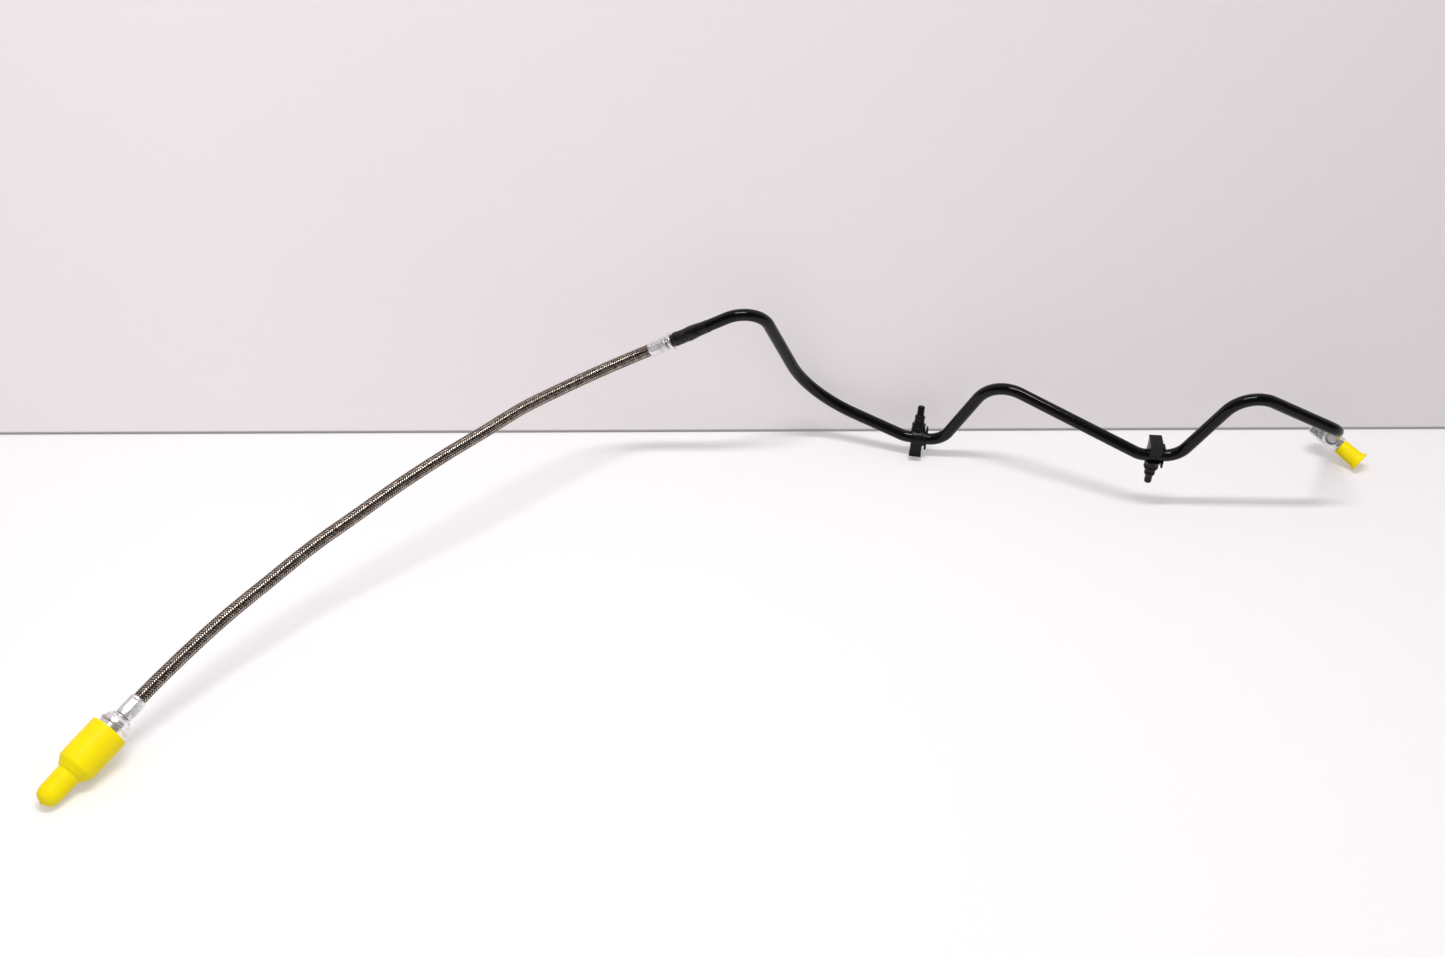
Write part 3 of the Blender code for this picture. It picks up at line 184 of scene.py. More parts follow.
# Coupling, local z = 0 at the rear of its body: the outside from the probe to the rear collar, the
# inside from the rear to the cone that the valve closes on, and the valve
COUPLING_HOSE_MOUTH = Vector((-0.5380, -0.2495, 0.0268))
COUPLING_YAW = math.radians(55.1)
COUPLING_TILT = math.radians(16.0)
COUPLING_FERRULE_GAP = 0.0008
PROBE_END = 0.0580
PROBE_RADIUS = 0.0043
PROBE_CHAMFER = 0.0007
PROBE_GROOVE_START = 0.0511
PROBE_GROOVE_END = 0.0531
PROBE_GROOVE_DEPTH = 0.0010
PROBE_SEAL_SECTION = 0.00065
PROBE_SEAL_SIDES = 20
FRONT_FACE = 0.0370
FRONT_RADIUS = 0.0070
FRONT_BARREL_END = 0.0350
FRONT_BARREL_RADIUS = 0.0082
LOCK_GROOVE_END = 0.0210
LOCK_GROOVE_RADIUS = 0.00725
RING_START = 0.0150
RING_END = 0.0180
RING_RADIUS = 0.0095
BARREL_RADIUS = 0.0086
BEAD_END = 0.0068
BEAD_RADIUS = 0.0093
DOME_LENGTH = 0.0050
DOME_RADIUS = 0.0085
DOME_STEPS = 12
REAR_RADIUS = 0.0057
COLLAR_LENGTH = 0.0009
COLLAR_RADIUS = 0.0063
REAR_MOUTH_RADIUS = 0.0037
REAR_LIP = 0.0015
POCKET_RADIUS = 0.0059
POCKET_END = 0.0075
CHAMBER_RADIUS = 0.0050
CHAMBER_END = 0.0320
SEAT_CONE_END = 0.0355
SEAT_BORE_RADIUS = 0.0025
VALVE_PIN_END = 0.0562
VALVE_STEM_RADIUS = 0.0013
VALVE_STEM_END = 0.0078
VALVE_CONE_END = 0.03624
VALVE_LIP_RADIUS = 0.0039
VALVE_GROOVE_START = 0.0310
VALVE_GROOVE_END = 0.0326
VALVE_GROOVE_RADIUS = 0.00335
VALVE_HEAD_REAR = 0.0286
VALVE_HEAD_RADIUS = 0.0045

# Cap on the coupling, in the coupling's frame
CAP_MOUTH = 0.0098
CAP_SHOULDER = 0.0408
CAP_END = 0.0624
CAP_RADIUS = 0.01175
CAP_NOSE_RADIUS = 0.00715
CAP_INNER_RADIUS = 0.0098
CAP_NOSE_INNER_RADIUS = 0.00565
CAP_SHOULDER_WALL = 0.0015
CAP_END_WALL = 0.0022

# Fitting, local z along its spigot, x up its inlet, with the plug in its lug
SPIGOT_DIRECTION = Vector((0.7025, -0.6000, -0.3827))
FITTING_RADIUS = 0.0060
FITTING_REAR = -0.0060
FITTING_SHOULDER = 0.0073
FITTING_EDGE = 0.00022
SPIGOT_RADIUS = 0.0042
SPIGOT_END = 0.0213
PIN_GROOVE_START = 0.0120
PIN_GROOVE_END = 0.0150
PIN_GROOVE_DEPTH = 0.0008
BORE_RADIUS = 0.0018
BORE_START = -0.0030
BOSS_RADIUS = 0.0052
BOSS_END = 0.0108
SOCKET_DEPTH = 0.0045
LUG_LOW = (-0.0050, -0.0064, -0.0160)
LUG_HIGH = (0.0050, 0.0064, -0.0042)
PLUG_PLACE = Vector((0.0050, 0.0022, -0.0095))
PLUG_HEAD_RADIUS = 0.0026
PLUG_HEAD_LENGTH = 0.0012
PLUG_SHANK_RADIUS = 0.0017
PLUG_SHANK_LENGTH = 0.0040
PLUG_RECESS_RADIUS = 0.0030
PLUG_RIM_HEIGHT = 0.0002

# Cap on the spigot, in the fitting's frame
SPIGOT_CAP_MOUTH = 0.0076
SPIGOT_CAP_WALL = 0.0010
SPIGOT_CAP_FLARE = 0.0214
SPIGOT_CAP_FLOOR = 0.0235
SPIGOT_CAP_END = 0.0251
SPIGOT_CAP_DISH = SPIGOT_CAP_END - 0.0004
SPIGOT_CAP_RIM_RADIUS = 0.0073

# Clips, local x along the pipe, z up their studs
CLIP_ALONG_RUN = 0.0090
LOWER_CLIP_STUD = Vector((0.0, 0.342, 0.940))
UPPER_CLIP_STUD = Vector((0.0, 0.070, -0.998))
CLIP_HALF_WIDTH = 0.0040
CLIP_HALF_SPAN = 0.0058
CLIP_BASE_DEPTH = 0.0115
CLIP_FOOT = 0.0126
CLIP_FOOT_PROUD = 0.0003
CLIP_BORE_RADIUS = PIPE_RADIUS + GAP
CLIP_COLLAR_RADIUS = CLIP_BORE_RADIUS + 0.0022
CLIP_SLEEVE_RADIUS = CLIP_BORE_RADIUS + 0.0011
CLIP_WING_LOW = (0.0056, -0.0035, -0.0074)
CLIP_WING_HIGH = (0.0070, 0.0035, 0.0085)
CLIP_CUT_REACH = 0.008
CLIP_SLOT_DEPTH = 0.0068
CLIP_SLOT_HALF_WIDTH = 0.0032
CLIP_EDGE = 0.00015
STUD_END = 0.0235
STUD_PIN_START = 0.0165
STUD_PIN_RADIUS = 0.0025
STUD_UPPER_START = 0.0105
STUD_UPPER_RADIUS = 0.0036
STUD_UPPER_NOTCH = 0.0135
STUD_LOWER_START = 0.0045
STUD_LOWER_RADIUS = 0.0049
STUD_LOWER_NOTCH = 0.0085
STUD_NOTCH_DEPTH = 0.0005

# Values worked out
FERRULE_BORE_RADIUS = HOSE_CRIMPED_DIAMETER / 2 + GAP
FERRULE_RADIUS = FERRULE_BORE_RADIUS + FERRULE_WALL
HOSE_SEAT = FERRULE_LENGTH - FERRULE_END_WALL - 0.0005
FLANGE_END = FLANGE_START + FLANGE_LENGTH
PIPE_START = FLANGE_END + GAP
PIPE_END = BOSS_END - SOCKET_DEPTH + GAP


def frame_of(origin, x, z):
    made = Matrix((x, z.cross(x), z)).transposed().to_4x4()
    made.translation = origin
    return made


def frame_at(origin, z_axis, x_hint):
    """A frame with its Z along z_axis and its X as near x_hint as it can be."""
    z = z_axis.normalized()
    return frame_of(origin, (x_hint - x_hint.dot(z) * z).normalized(), z)


def frame_along(origin, x_axis, z_hint):
    """A frame with its X along x_axis and its Z as near z_hint as it can be."""
    x = x_axis.normalized()
    return frame_of(origin, x, (z_hint - z_hint.dot(x) * x).normalized())


def shifted(place, height):
    return place @ Matrix.Translation((0, 0, height))


def joint_frame():
    return frame_at(JOINT_POINT, PIPE_BENDS[0][0] - JOINT_POINT, Vector((0, 0, 1)))


def coupling_frame():
    flat = math.cos(COUPLING_TILT)
    rise = math.sin(COUPLING_TILT)
    to_hose = Vector((flat * math.cos(COUPLING_YAW), flat * math.sin(COUPLING_YAW), rise))
    rear = COUPLING_HOSE_MOUTH - to_hose * (FERRULE_LENGTH + COUPLING_FERRULE_GAP)
    return frame_at(rear, -to_hose, Vector((0, 0, 1)))


def fitting_frame():
    return frame_along(ELBOW_POINT, PIPE_BENDS[-1][0] - ELBOW_POINT, SPIGOT_DIRECTION)


def plug_frame():
    return fitting_frame() @ Matrix.Translation(PLUG_PLACE) @ Matrix.Rotation(math.pi / 2, 4, "Y")


def clip_frame(first_bend, stud):
    start = PIPE_BENDS[first_bend][0]
    way = (PIPE_BENDS[first_bend + 1][0] - start).normalized()
    return frame_along(start + way * CLIP_ALONG_RUN, way, stud)


# Routes


def rounded_route(start, bends, end):
    """Points along straight runs joined by arcs of each bend's radius."""
    corners = [start] + [corner for corner, radius in bends] + [end]
    points = [start]
    for i, (corner, radius) in enumerate(bends, start=1):
        back = (corners[i - 1] - corner).normalized()
        ahead = (corners[i + 1] - corner).normalized()
        turn = math.pi - back.angle(ahead)
        centre = corner + (back + ahead).normalized() * radius / math.cos(turn / 2)
        first = corner + back * radius * math.tan(turn / 2) - centre
        axis = back.cross(ahead).normalized()
        count = max(2, math.ceil(turn / BEND_STEP))
        for step in range(count + 1):
            points.append(centre + Matrix.Rotation(-turn * step / count, 3, axis) @ first)
    points.append(end)
    return points


def smooth_route(points, start_way, end_way, step):
    """Evenly spaced points on a smooth curve through the given ones, with set end directions."""
    spans = [(b - a).length for a, b in zip(points, points[1:])]
    slopes = [(b - a) / span for a, b, span in zip(points, points[1:], spans)]
    ways = [start_way]
    for i in range(1, len(points) - 1):
        blended = slopes[i - 1] * spans[i] + slopes[i] * spans[i - 1]
        ways.append(blended / (spans[i - 1] + spans[i]))
    ways.append(end_way)
    fine = []
    for i, span in enumerate(spans):
        for k in range(HOSE_CURVE_STEPS):
            t = k / HOSE_CURVE_STEPS
            fine.append(
                points[i] * (2 * t**3 - 3 * t**2 + 1)
                + ways[i] * span * (t**3 - 2 * t**2 + t)
                + points[i + 1] * (3 * t**2 - 2 * t**3)
                + ways[i + 1] * span * (t**3 - t**2)
            )
    fine.append(points[-1])
    run = np.array(run_lengths(fine))
    want = np.linspace(0.0, run[-1], round(run[-1] / step) + 1)
    return [Vector(p) for p in between(want, run, as_array(fine))]


def as_array(points):
    return np.array([tuple(p) for p in points])


def between(places, run, values):
    """Values at the given places, read between those known along the run."""
    return np.stack([np.interp(places, run, values[:, i]) for i in range(3)], axis=-1)


def run_lengths(points):
    """How far along the line each of its points lies."""
    run = [0.0]
    for a, b in zip(points, points[1:]):
        run.append(run[-1] + (b - a).length)
    return run


def carried_frames(points):
    """At each point of a line, two directions square to it, carried along without twist."""
    around = zip(points[:1] + points, points[1:] + points[-1:])
    ways = [(after - before).normalized() for before, after in around]
    side = ways[0].orthogonal().normalized()
    sides = []
    for way in ways:
        side = (side - side.dot(way) * way).normalized()
        sides.append(side)
    return sides, [way.cross(side) for way, side in zip(ways, sides)]


# Meshes


def placed(name, data, place):
    obj = bpy.data.objects.new(name, data)
    obj.matrix_world = place
    bpy.context.scene.collection.objects.link(obj)
    return obj


def new_object(name, vertices, faces):
    mesh = bpy.data.meshes.new(name)
    mesh.from_pydata(vertices, [], faces)
    return finish_object(name, mesh, Matrix())


def finish_object(name, mesh, place):
    """An object with its faces turned outward and shaded smooth up to the sharp angle."""
    work = bmesh.new()
    work.from_mesh(mesh)
    bmesh.ops.recalc_face_normals(work, faces=work.faces)
    work.to_mesh(mesh)
    work.free()
    mesh.shade_smooth()
    mesh.set_sharp_from_angle(angle=SHARP_ANGLE)
    return placed(name, mesh, place)


def skin(rings, loop=False, caps=False):
    """Vertices and faces over rings of points, an array of ring, point and coordinate."""
    count, around = rings.shape[:2]
    index = np.arange(count * around).reshape(count, around)
    if loop:
        index = np.vstack([index, index[:1]])
    low, high = index[:-1], index[1:]
    faces = np.stack([low, np.roll(low, -1, axis=1), np.roll(high, -1, axis=1), high], axis=-1)
    faces = faces.reshape(-1, 4).tolist()
    if caps:
        faces.append(index[0][::-1].tolist())
        faces.append(index[-1].tolist())
    return rings.reshape(-1, 3).tolist(), faces


def rings_along(points, radius, sides):
    outs, ups = carried_frames(points)
    angles = np.linspace(0, math.tau, sides, endpoint=False)[None, :, None]
    out, up = as_array(outs)[:, None], as_array(ups)[:, None]
    return as_array(points)[:, None] + radius * (out * np.cos(angles) + up * np.sin(angles))


def softened(profile, closed):
    """Profile points (radius, height) with each corner rounded by its third value."""
    points = []
    last = len(profile) - 1
    for i, (r, z, fillet) in enumerate(profile):
        here = Vector((r, z))
        back = Vector(profile[i - 1][:2]) - here
        ahead = Vector(profile[(i + 1) % (last + 1)][:2]) - here
        at_end = not closed and i in (0, last)
        turn = 0.0 if at_end or fillet == 0 else math.pi - back.angle(ahead)
        if turn < LEAST_TURN:
            points.append((r, z))
            continue
        longest = LONGEST_FILLET * min(back.length, ahead.length)
        reach = min(fillet * math.tan(turn / 2), longest)
        radius = reach / math.tan(turn / 2)
        middle = (back.normalized() + ahead.normalized()).normalized()
        centre = here + middle * radius / math.cos(turn / 2)
        first = here + back.normalized() * reach - centre
        final = here + ahead.normalized() * reach - centre
        for k in range(FILLET_STEPS + 1):
            share = k / FILLET_STEPS
            spoke = first * math.sin((1 - share) * turn) + final * math.sin(share * turn)
            points.append(tuple(centre + spoke / math.sin(turn)))
    return points


def tiers(*rows):
    """Profile points of cylinders, given by radius, the heights of the ends and their fillets."""
    points = []
    for radius, first, last, first_fillet, last_fillet in rows:
        points += [(radius, first, first_fillet), (radius, last, last_fillet)]
    return points


def turned_mesh(name, profile, closed=True, steps=TURN_STEPS, shape=None):
    """A mesh turned about z. shape, if given, changes the radius by the height and the angle."""
    points = softened(profile, closed)
    angles = np.linspace(0, math.tau, steps, endpoint=False)
    radius = np.array([p[0] for p in points])[:, None] * np.ones(steps)
    height = np.array([p[1] for p in points])[:, None] * np.ones(steps)
    if shape:
        radius = shape(radius, height, angles[None, :] * np.ones_like(radius))
    rings = np.stack([radius * np.cos(angles), radius * np.sin(angles), height], axis=-1)
    vertices, faces = skin(rings, loop=closed)
    mesh = bpy.data.meshes.new(name)
    mesh.from_pydata(vertices, [], faces)
    work = bmesh.new()
    work.from_mesh(mesh)
    bmesh.ops.remove_doubles(work, verts=work.verts, dist=WELD)
    work.to_mesh(mesh)
    work.free()
    return mesh


def turned(name, profile, place, closed=True, steps=TURN_STEPS, shape=None):
    obj = finish_object(name, turned_mesh(name, profile, closed, steps, shape), place)
    weighted = obj.modifiers.new("weighted", "WEIGHTED_NORMAL")
    weighted.keep_sharp = True
    return obj


def dress(obj, material, body, slot, *nodes):
    """Give a piece its material, the body that it moves with and the solids that it stands for."""
    obj.data.materials.clear()
    obj.data.materials.append(material)
    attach(obj, body)
    if nodes:
        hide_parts(*nodes)
    return obj


def repaint(node, material):
    """Give a CAD solid that stays in view its finer material."""
    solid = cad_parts[node]
    for place in solid.material_slots:
        place.material = material


# Materials


class Finish:
    """A material, the values set on its shader, and short ways to add its nodes."""

    def __init__(self, name, **values):
        self.material = bpy.data.materials.new(name)
        self.material.use_nodes = True
        self.nodes = self.material.node_tree.nodes
        self.links = self.material.node_tree.links
        self.shader = self.nodes["Principled BSDF"]
        self.place = self.nodes.new("ShaderNodeTexCoord").outputs["Object"]
        for socket, value in values.items():
            self.shader.inputs[socket.replace("_", " ")].default_value = value

    def stretched(self, scale):
        mapping = self.nodes.new("ShaderNodeMapping")
        mapping.inputs["Scale"].default_value = scale
        self.links.new(self.place, mapping.inputs["Vector"])
        return mapping.outputs["Vector"]

    def noise(self, scale, detail=3.0, roughness=0.5, stretch=None, distortion=0.0):
        made = self.nodes.new("ShaderNodeTexNoise")
        made.inputs["Scale"].default_value = scale
        made.inputs["Detail"].default_value = detail
        made.inputs["Roughness"].default_value = roughness
        made.inputs["Distortion"].default_value = distortion
        self.links.new(self.stretched(stretch) if stretch else self.place, made.inputs["Vector"])
        return made.outputs["Fac"]

    def ramp(self, factor, *stops):
        made = self.nodes.new("ShaderNodeValToRGB")
        elements = made.color_ramp.elements
        while len(elements) < len(stops):
            elements.new(0.5)
        for element, (position, colour) in zip(elements, stops):
            element.position = position
            element.color = (*colour, 1.0)
        self.links.new(factor, made.inputs["Fac"])
        return made.outputs["Color"]

    def scaled(self, factor, low, high):
        """The factor, from 0 to 1, brought to another range."""
        made = self.nodes.new("ShaderNodeMapRange")
        made.inputs["To Min"].default_value = low
        made.inputs["To Max"].default_value = high
        self.links.new(factor, made.inputs["Value"])
        return made.outputs["Result"]

    def math(self, operation, first, second):
        made = self.nodes.new("ShaderNodeMath")
        made.operation = operation
        for socket, value in zip(made.inputs, (first, second)):
            if isinstance(value, (int, float)):
                socket.default_value = value
            else:
                self.links.new(value, socket)
        return made.outputs["Value"]

    def along(self, axis, low, high):
        """A factor that runs from 0 to 1 between two places along an axis."""
        apart = self.nodes.new("ShaderNodeSeparateXYZ")
        self.links.new(self.place, apart.inputs["Vector"])
        made = self.nodes.new("ShaderNodeMapRange")
        made.inputs["From Min"].default_value = low
        made.inputs["From Max"].default_value = high
        self.links.new(apart.outputs[axis], made.inputs["Value"])
        return made.outputs["Result"]

    def attribute(self, name):
        made = self.nodes.new("ShaderNodeAttribute")
        made.attribute_name = name
        return made.outputs["Fac"]

    def colour(self, factor, *stops):
        self.links.new(self.ramp(factor, *stops), self.shader.inputs["Base Color"])

    def roughness(self, factor, low, high):
        self.links.new(self.scaled(factor, low, high), self.shader.inputs["Roughness"])

    def bump(self, height, distance, strength):
        made = self.nodes.new("ShaderNodeBump")
        made.inputs["Distance"].default_value = distance
        made.inputs["Strength"].default_value = strength
        self.links.new(height, made.inputs["Height"])
        if self.shader.inputs["Normal"].is_linked:
            self.links.new(self.shader.inputs["Normal"].links[0].from_socket, made.inputs["Normal"])
        self.links.new(made.outputs["Normal"], self.shader.inputs["Normal"])

    def clouded(self, *stops, **form):
        self.colour(self.noise(**form), *stops)

    def rough(self, low, high, **form):
        self.roughness(self.noise(**form), low, high)

    def grained(self, distance, strength, **form):
        self.bump(self.noise(**form), distance, strength)


def gloss_black():
    """Glossy coating on the pipe: near black, faintly uneven, with dust-fine scuffs."""
    made = Finish("gloss_black", Specular_IOR_Level=0.22)
    blacks = (0.3, (0.0012, 0.0011, 0.0013)), (0.75, (0.0032, 0.0029, 0.0031))
    made.clouded(*blacks, scale=70, detail=4)
    made.rough(0.07, 0.14, scale=180, detail=5, roughness=0.65)
    made.grained(0.00003, 0.4, scale=300, detail=2)
    made.grained(0.00001, 0.2, scale=2600, detail=2)
    return made.material


def shrink_black():
    """Shrunk sleeve: wrinkled and mottled where it is fat, smoother where it is drawn tight."""
    made = Finish("shrink_black", Specular_IOR_Level=0.28)
    scuffs = made.noise(scale=330, detail=6, roughness=0.7, distortion=0.6)
    tight = made.along("Z", *SHRINK_TIGHTENS)
    tone = made.math("SUBTRACT", scuffs, made.math("MULTIPLY", tight, 0.22))
    darks = (0.4, (0.0035, 0.0032, 0.0033)), (0.56, (0.011, 0.009, 0.009))
    made.colour(tone, *darks, (0.74, (0.11, 0.088, 0.084)))
    made.roughness(scuffs, 0.16, 0.50)
    made.grained(0.00006, 0.5, scale=900, detail=4)
    return made.material


def zinc_plate(name, low, high, grain):
    """Pale zinc, rough from low to high, with fine marks round or along its axis, as grain says."""
    made = Finish(name, Metallic=0.8)
    marks = made.noise(scale=1.0, detail=4, roughness=0.7, stretch=grain)
    spots = made.math("MULTIPLY", made.noise(scale=150, detail=4), 0.5)
    cloud = made.math("ADD", made.math("MULTIPLY", marks, 0.5), spots)
    made.colour(cloud, (0.38, (0.50, 0.50, 0.52)), (0.53, (0.90, 0.895, 0.90)))
    made.rough(low, high, scale=420, detail=4)
    made.bump(marks, 0.00003, 0.5)
    made.grained(0.00001, 0.2, scale=500, detail=2)
    return made.material


def machined_steel():
    """Plain turned steel for the parts inside."""
    made = Finish("machined_steel", Metallic=1.0)
    made.clouded((0.3, (0.36, 0.36, 0.37)), (0.7, (0.56, 0.56, 0.57)), scale=300, detail=4)
    made.rough(0.22, 0.38, scale=600, detail=3)
    made.grained(0.00001, 0.6, scale=1.0, detail=3, stretch=(150, 150, 8000))
    return made.material


def yellow_vinyl():
    """Soft moulded cap: saturated yellow, faintly mottled, with a waxy sheen."""
    made = Finish(
        "yellow_vinyl",
        Specular_IOR_Level=0.16,
        Subsurface_Weight=0.18,
        Subsurface_Scale=0.002,
        Subsurface_Radius=(1.0, 0.7, 0.1),
    )
    made.clouded((0.25, (0.99, 0.75, 0.0)), (0.7, (1.0, 0.82, 0.0)), scale=90, detail=4)
    made.rough(0.30, 0.46, scale=240, detail=4)
    made.grained(0.00006, 0.5, scale=350, detail=3)
    made.grained(0.00001, 0.5, scale=2400, detail=2)
    return made.material


def black_nylon():
    """Moulded nylon: satin, with a fine pitted skin and paler rubbed spots."""
    made = Finish("black_nylon", Specular_IOR_Level=0.2)
    rub = made.noise(scale=500, detail=6, roughness=0.7)
    made.colour(rub, (0.4, (0.0030, 0.0028, 0.0032)), (0.8, (0.010, 0.009, 0.011)))
    made.rough(0.24, 0.42, scale=800, detail=4)
    made.grained(0.00002, 0.5, scale=1800, detail=3)
    made.grained(0.00008, 0.35, scale=160, detail=2)
    return made.material


def wire_strand_painted_light():
    """Tinted wires in a flat strand, painted lighter where it rises and with painted shade at its
    dips and edges.
    """
    made = Finish("wire_strand_painted_light", Metallic=1.0)
    across = made.attribute("across")
    wires = made.math("SINE", made.math("MULTIPLY", across, math.tau * STRAND_WIRES), 0.0)
    # painted shade darkens the strand towards its edges, and the tone attribute brings painted light
    # where it rises
    edge = made.math("MULTIPLY", made.math("MULTIPLY", across, across), -1.5)
    grain = made.math("MULTIPLY", made.noise(scale=500, detail=4), 0.3)
    tone = made.math("ADD", made.math("ADD", made.attribute("tone"), grain), edge)
    darks = (0.34, (0.004, 0.003, 0.003)), (0.55, (0.062, 0.046, 0.039))
    made.colour(tone, *darks, (0.72, (0.66, 0.57, 0.49)))
    made.rough(0.26, 0.34, scale=900, detail=3)
    made.bump(wires, 0.00002, 0.4)
    return made.material


def core_rubber():
    """Dark tube under the braid."""
    made = Finish("core_rubber")
    made.clouded((0.3, (0.012, 0.009, 0.007)), (0.7, (0.03, 0.022, 0.017)), scale=400)
    made.rough(0.5, 0.7, scale=700)
    return made.material


def seal_rubber():
    made = Finish("seal_rubber")
    made.clouded((0.3, (0.010, 0.010, 0.010)), (0.7, (0.022, 0.022, 0.023)), scale=600)
    made.rough(0.4, 0.6, scale=900, detail=3)
    made.grained(0.00001, 0.5, scale=1500)
    return made.material


# Pieces


def steel_pipe(material):
    way = (PIPE_BENDS[0][0] - JOINT_POINT).normalized()
    inlet = (PIPE_BENDS[-1][0] - ELBOW_POINT).normalized()
    end = ELBOW_POINT + inlet * PIPE_END
    points = rounded_route(JOINT_POINT + way * PIPE_START, PIPE_BENDS, end)
    outer = rings_along(points, PIPE_RADIUS, PIPE_SIDES)
    inner = rings_along(points, PIPE_RADIUS - PIPE_WALL, PIPE_SIDES)[::-1]
    obj = new_object("pipe_tube", *skin(np.concatenate([outer, inner]), loop=True))
    return dress(obj, material, "line", "pipe_paint", "steel_pipe")


def heat_shrink(material):
    """A sleeve shrunk over the pipe's end: fat and lumpy at the flange, then drawn down tight."""
    inner = PIPE_RADIUS + GAP / 3
    end = SHRINK_START + SHRINK_LENGTH

    def lumps(radius, height, angle):
        along = (height - SHRINK_START) / SHRINK_LENGTH
        swell = np.interp(
            along, [0, 0.05, 0.3, 0.55, 0.72, 0.82, 1.0], [0.3, 0.62, 0.5, 0.62, 0.34, 0.1, 0.02]
        )
        waves = np.empty_like(radius)
        for i, k in np.ndindex(radius.shape):
            turn = angle[i, k]
            spot = Vector((math.cos(turn) * 1.3, math.sin(turn) * 1.3, height[i, k] * 260))
            waves[i, k] = noise.fractal(spot, 0.9, 2.0, 3)
        fade = np.interp(along, [0, 0.05, 0.7, 0.85, 1.0], [0.3, 1.0, 1.0, 0.3, 0.05])
        proud = np.maximum(swell * SHRINK_SWELL + waves * SHRINK_WRINKLE * fade, 0.00008)
        return np.where(radius > inner + 0.00005, inner + proud, radius)

    profile = [(inner, SHRINK_START, 0), (inner, end, 0)]
    for i in range(SHRINK_ROWS + 1):
        profile.append((inner + SHRINK_WALL, end - SHRINK_LENGTH * i / SHRINK_ROWS, 0))
    obj = turned("shrink_sleeve", profile, joint_frame(), steps=SHRINK_STEPS, shape=lumps)
    return dress(obj, material, "line", "shrink_sleeve", "heat_shrink")


def barbs(top):
    """Profile points down a barbed stem, from its root at the given height to its open tip."""
    root = STEM_ROOT_RADIUS
    points = [(root, top, 0)]
    for i in range(STEM_BARBS):
        height = top - STEM_ROOT_LENGTH - i * STEM_BARB_PITCH
        points += [(root, height, 0), (root + STEM_BARB_HEIGHT, height, 0)]
        points.append((root, height - STEM_BARB_RAMP, 0))
    tip = top - HOSE_SEAT - GAP + STEM_TIP_SETBACK
    return points + [(root, tip, 0), (STEM_BORE_RADIUS, tip, 0)]


def pipe_insert(material):
    seat = HOSE_SEAT - JOINT_FERRULE_BACK + GAP
    spigot = PIPE_RADIUS - PIPE_WALL - GAP
    spigot_end = FLANGE_END + SPIGOT_IN_PIPE_LENGTH
    profile = tiers(
        (spigot, spigot_end, FLANGE_END, 0.0003, 0),
        (FLANGE_RADIUS, FLANGE_END, FLANGE_START, 0.0006, 0.0006),
        (NECK_RADIUS, FLANGE_START, seat, 0, 0),
    )
    profile = [(STEM_BORE_RADIUS, spigot_end, 0)] + profile + barbs(seat)
    obj = turned("joint_insert", profile, joint_frame())
    return dress(obj, material, "line", "zinc", "pipe_insert")


def crimped(radius, height, angle):
    """Squeeze a ferrule's outside to flats, with a narrow rib left where the die's jaws meet."""
    half = math.pi / FERRULE_FLATS
    across = np.mod(angle, 2 * half) - half
    into = np.minimum(height - CRIMP_START, CRIMP_START + CRIMP_LENGTH - height) / CRIMP_RAMP
    squeeze = np.clip(into + 0.5, 0, 1)
    squeeze = squeeze * squeeze * (3 - 2 * squeeze)
    flat = (FERRULE_RADIUS - CRIMP_DEPTH * squeeze) / np.cos(across)
    outside = radius > FERRULE_BORE_RADIUS + 0.0002
    return np.where(outside & (squeeze > 0), np.minimum(radius, flat), radius)


def ferrule(name, place, material, node):
    """A ferrule with many rows along its outside for the crimp to shape."""
    profile = [(NECK_RADIUS + GAP, FERRULE_LENGTH, 0), (FERRULE_RADIUS, FERRULE_LENGTH, 0.0007)]
    for i in range(1, FERRULE_ROWS):
        down = (FERRULE_LENGTH - 0.0014) * i / FERRULE_ROWS
        profile.append((FERRULE_RADIUS, FERRULE_LENGTH - 0.0008 - down, 0))
    profile += [
        (FERRULE_RADIUS, 0.0, 0.0004),
        (FERRULE_BORE_RADIUS, 0.0, 0.0002),
        (FERRULE_BORE_RADIUS, FERRULE_LENGTH - FERRULE_END_WALL, 0),
        (NECK_RADIUS + GAP, FERRULE_LENGTH - FERRULE_END_WALL, 0),
    ]
    obj = turned(name, profile, place, steps=FERRULE_STEPS, shape=crimped)
    return dress(obj, material, "line", "zinc", node)


def hose_line():
    """The hose's centreline, from its seat in the one ferrule to its seat in the other."""
    coupling_way = coupling_frame().to_3x3() @ Vector((0, 0, -1))
    joint_way = joint_frame().to_3x3() @ Vector((0, 0, 1))
    joint_mouth = JOINT_POINT - joint_way * JOINT_FERRULE_BACK
    middle = [COUPLING_HOSE_MOUTH] + HOSE_ROUTE + [joint_mouth]
    free = smooth_route(middle, coupling_way, joint_way, HOSE_STEP)
    shares = [i / FERRULE_HOSE_STEPS for i in range(1, FERRULE_HOSE_STEPS + 1)]
    first = [COUPLING_HOSE_MOUTH - coupling_way * HOSE_SEAT * share for share in reversed(shares)]
    last = [joint_mouth + joint_way * HOSE_SEAT * share for share in shares]
    return first + free + last


def hose_core(points, material):
    obj = new_object("hose_core", *skin(rings_along(points, CORE_RADIUS, HOSE_SIDES), caps=True))
    return dress(obj, material, "line", "braid", "braided_hose")


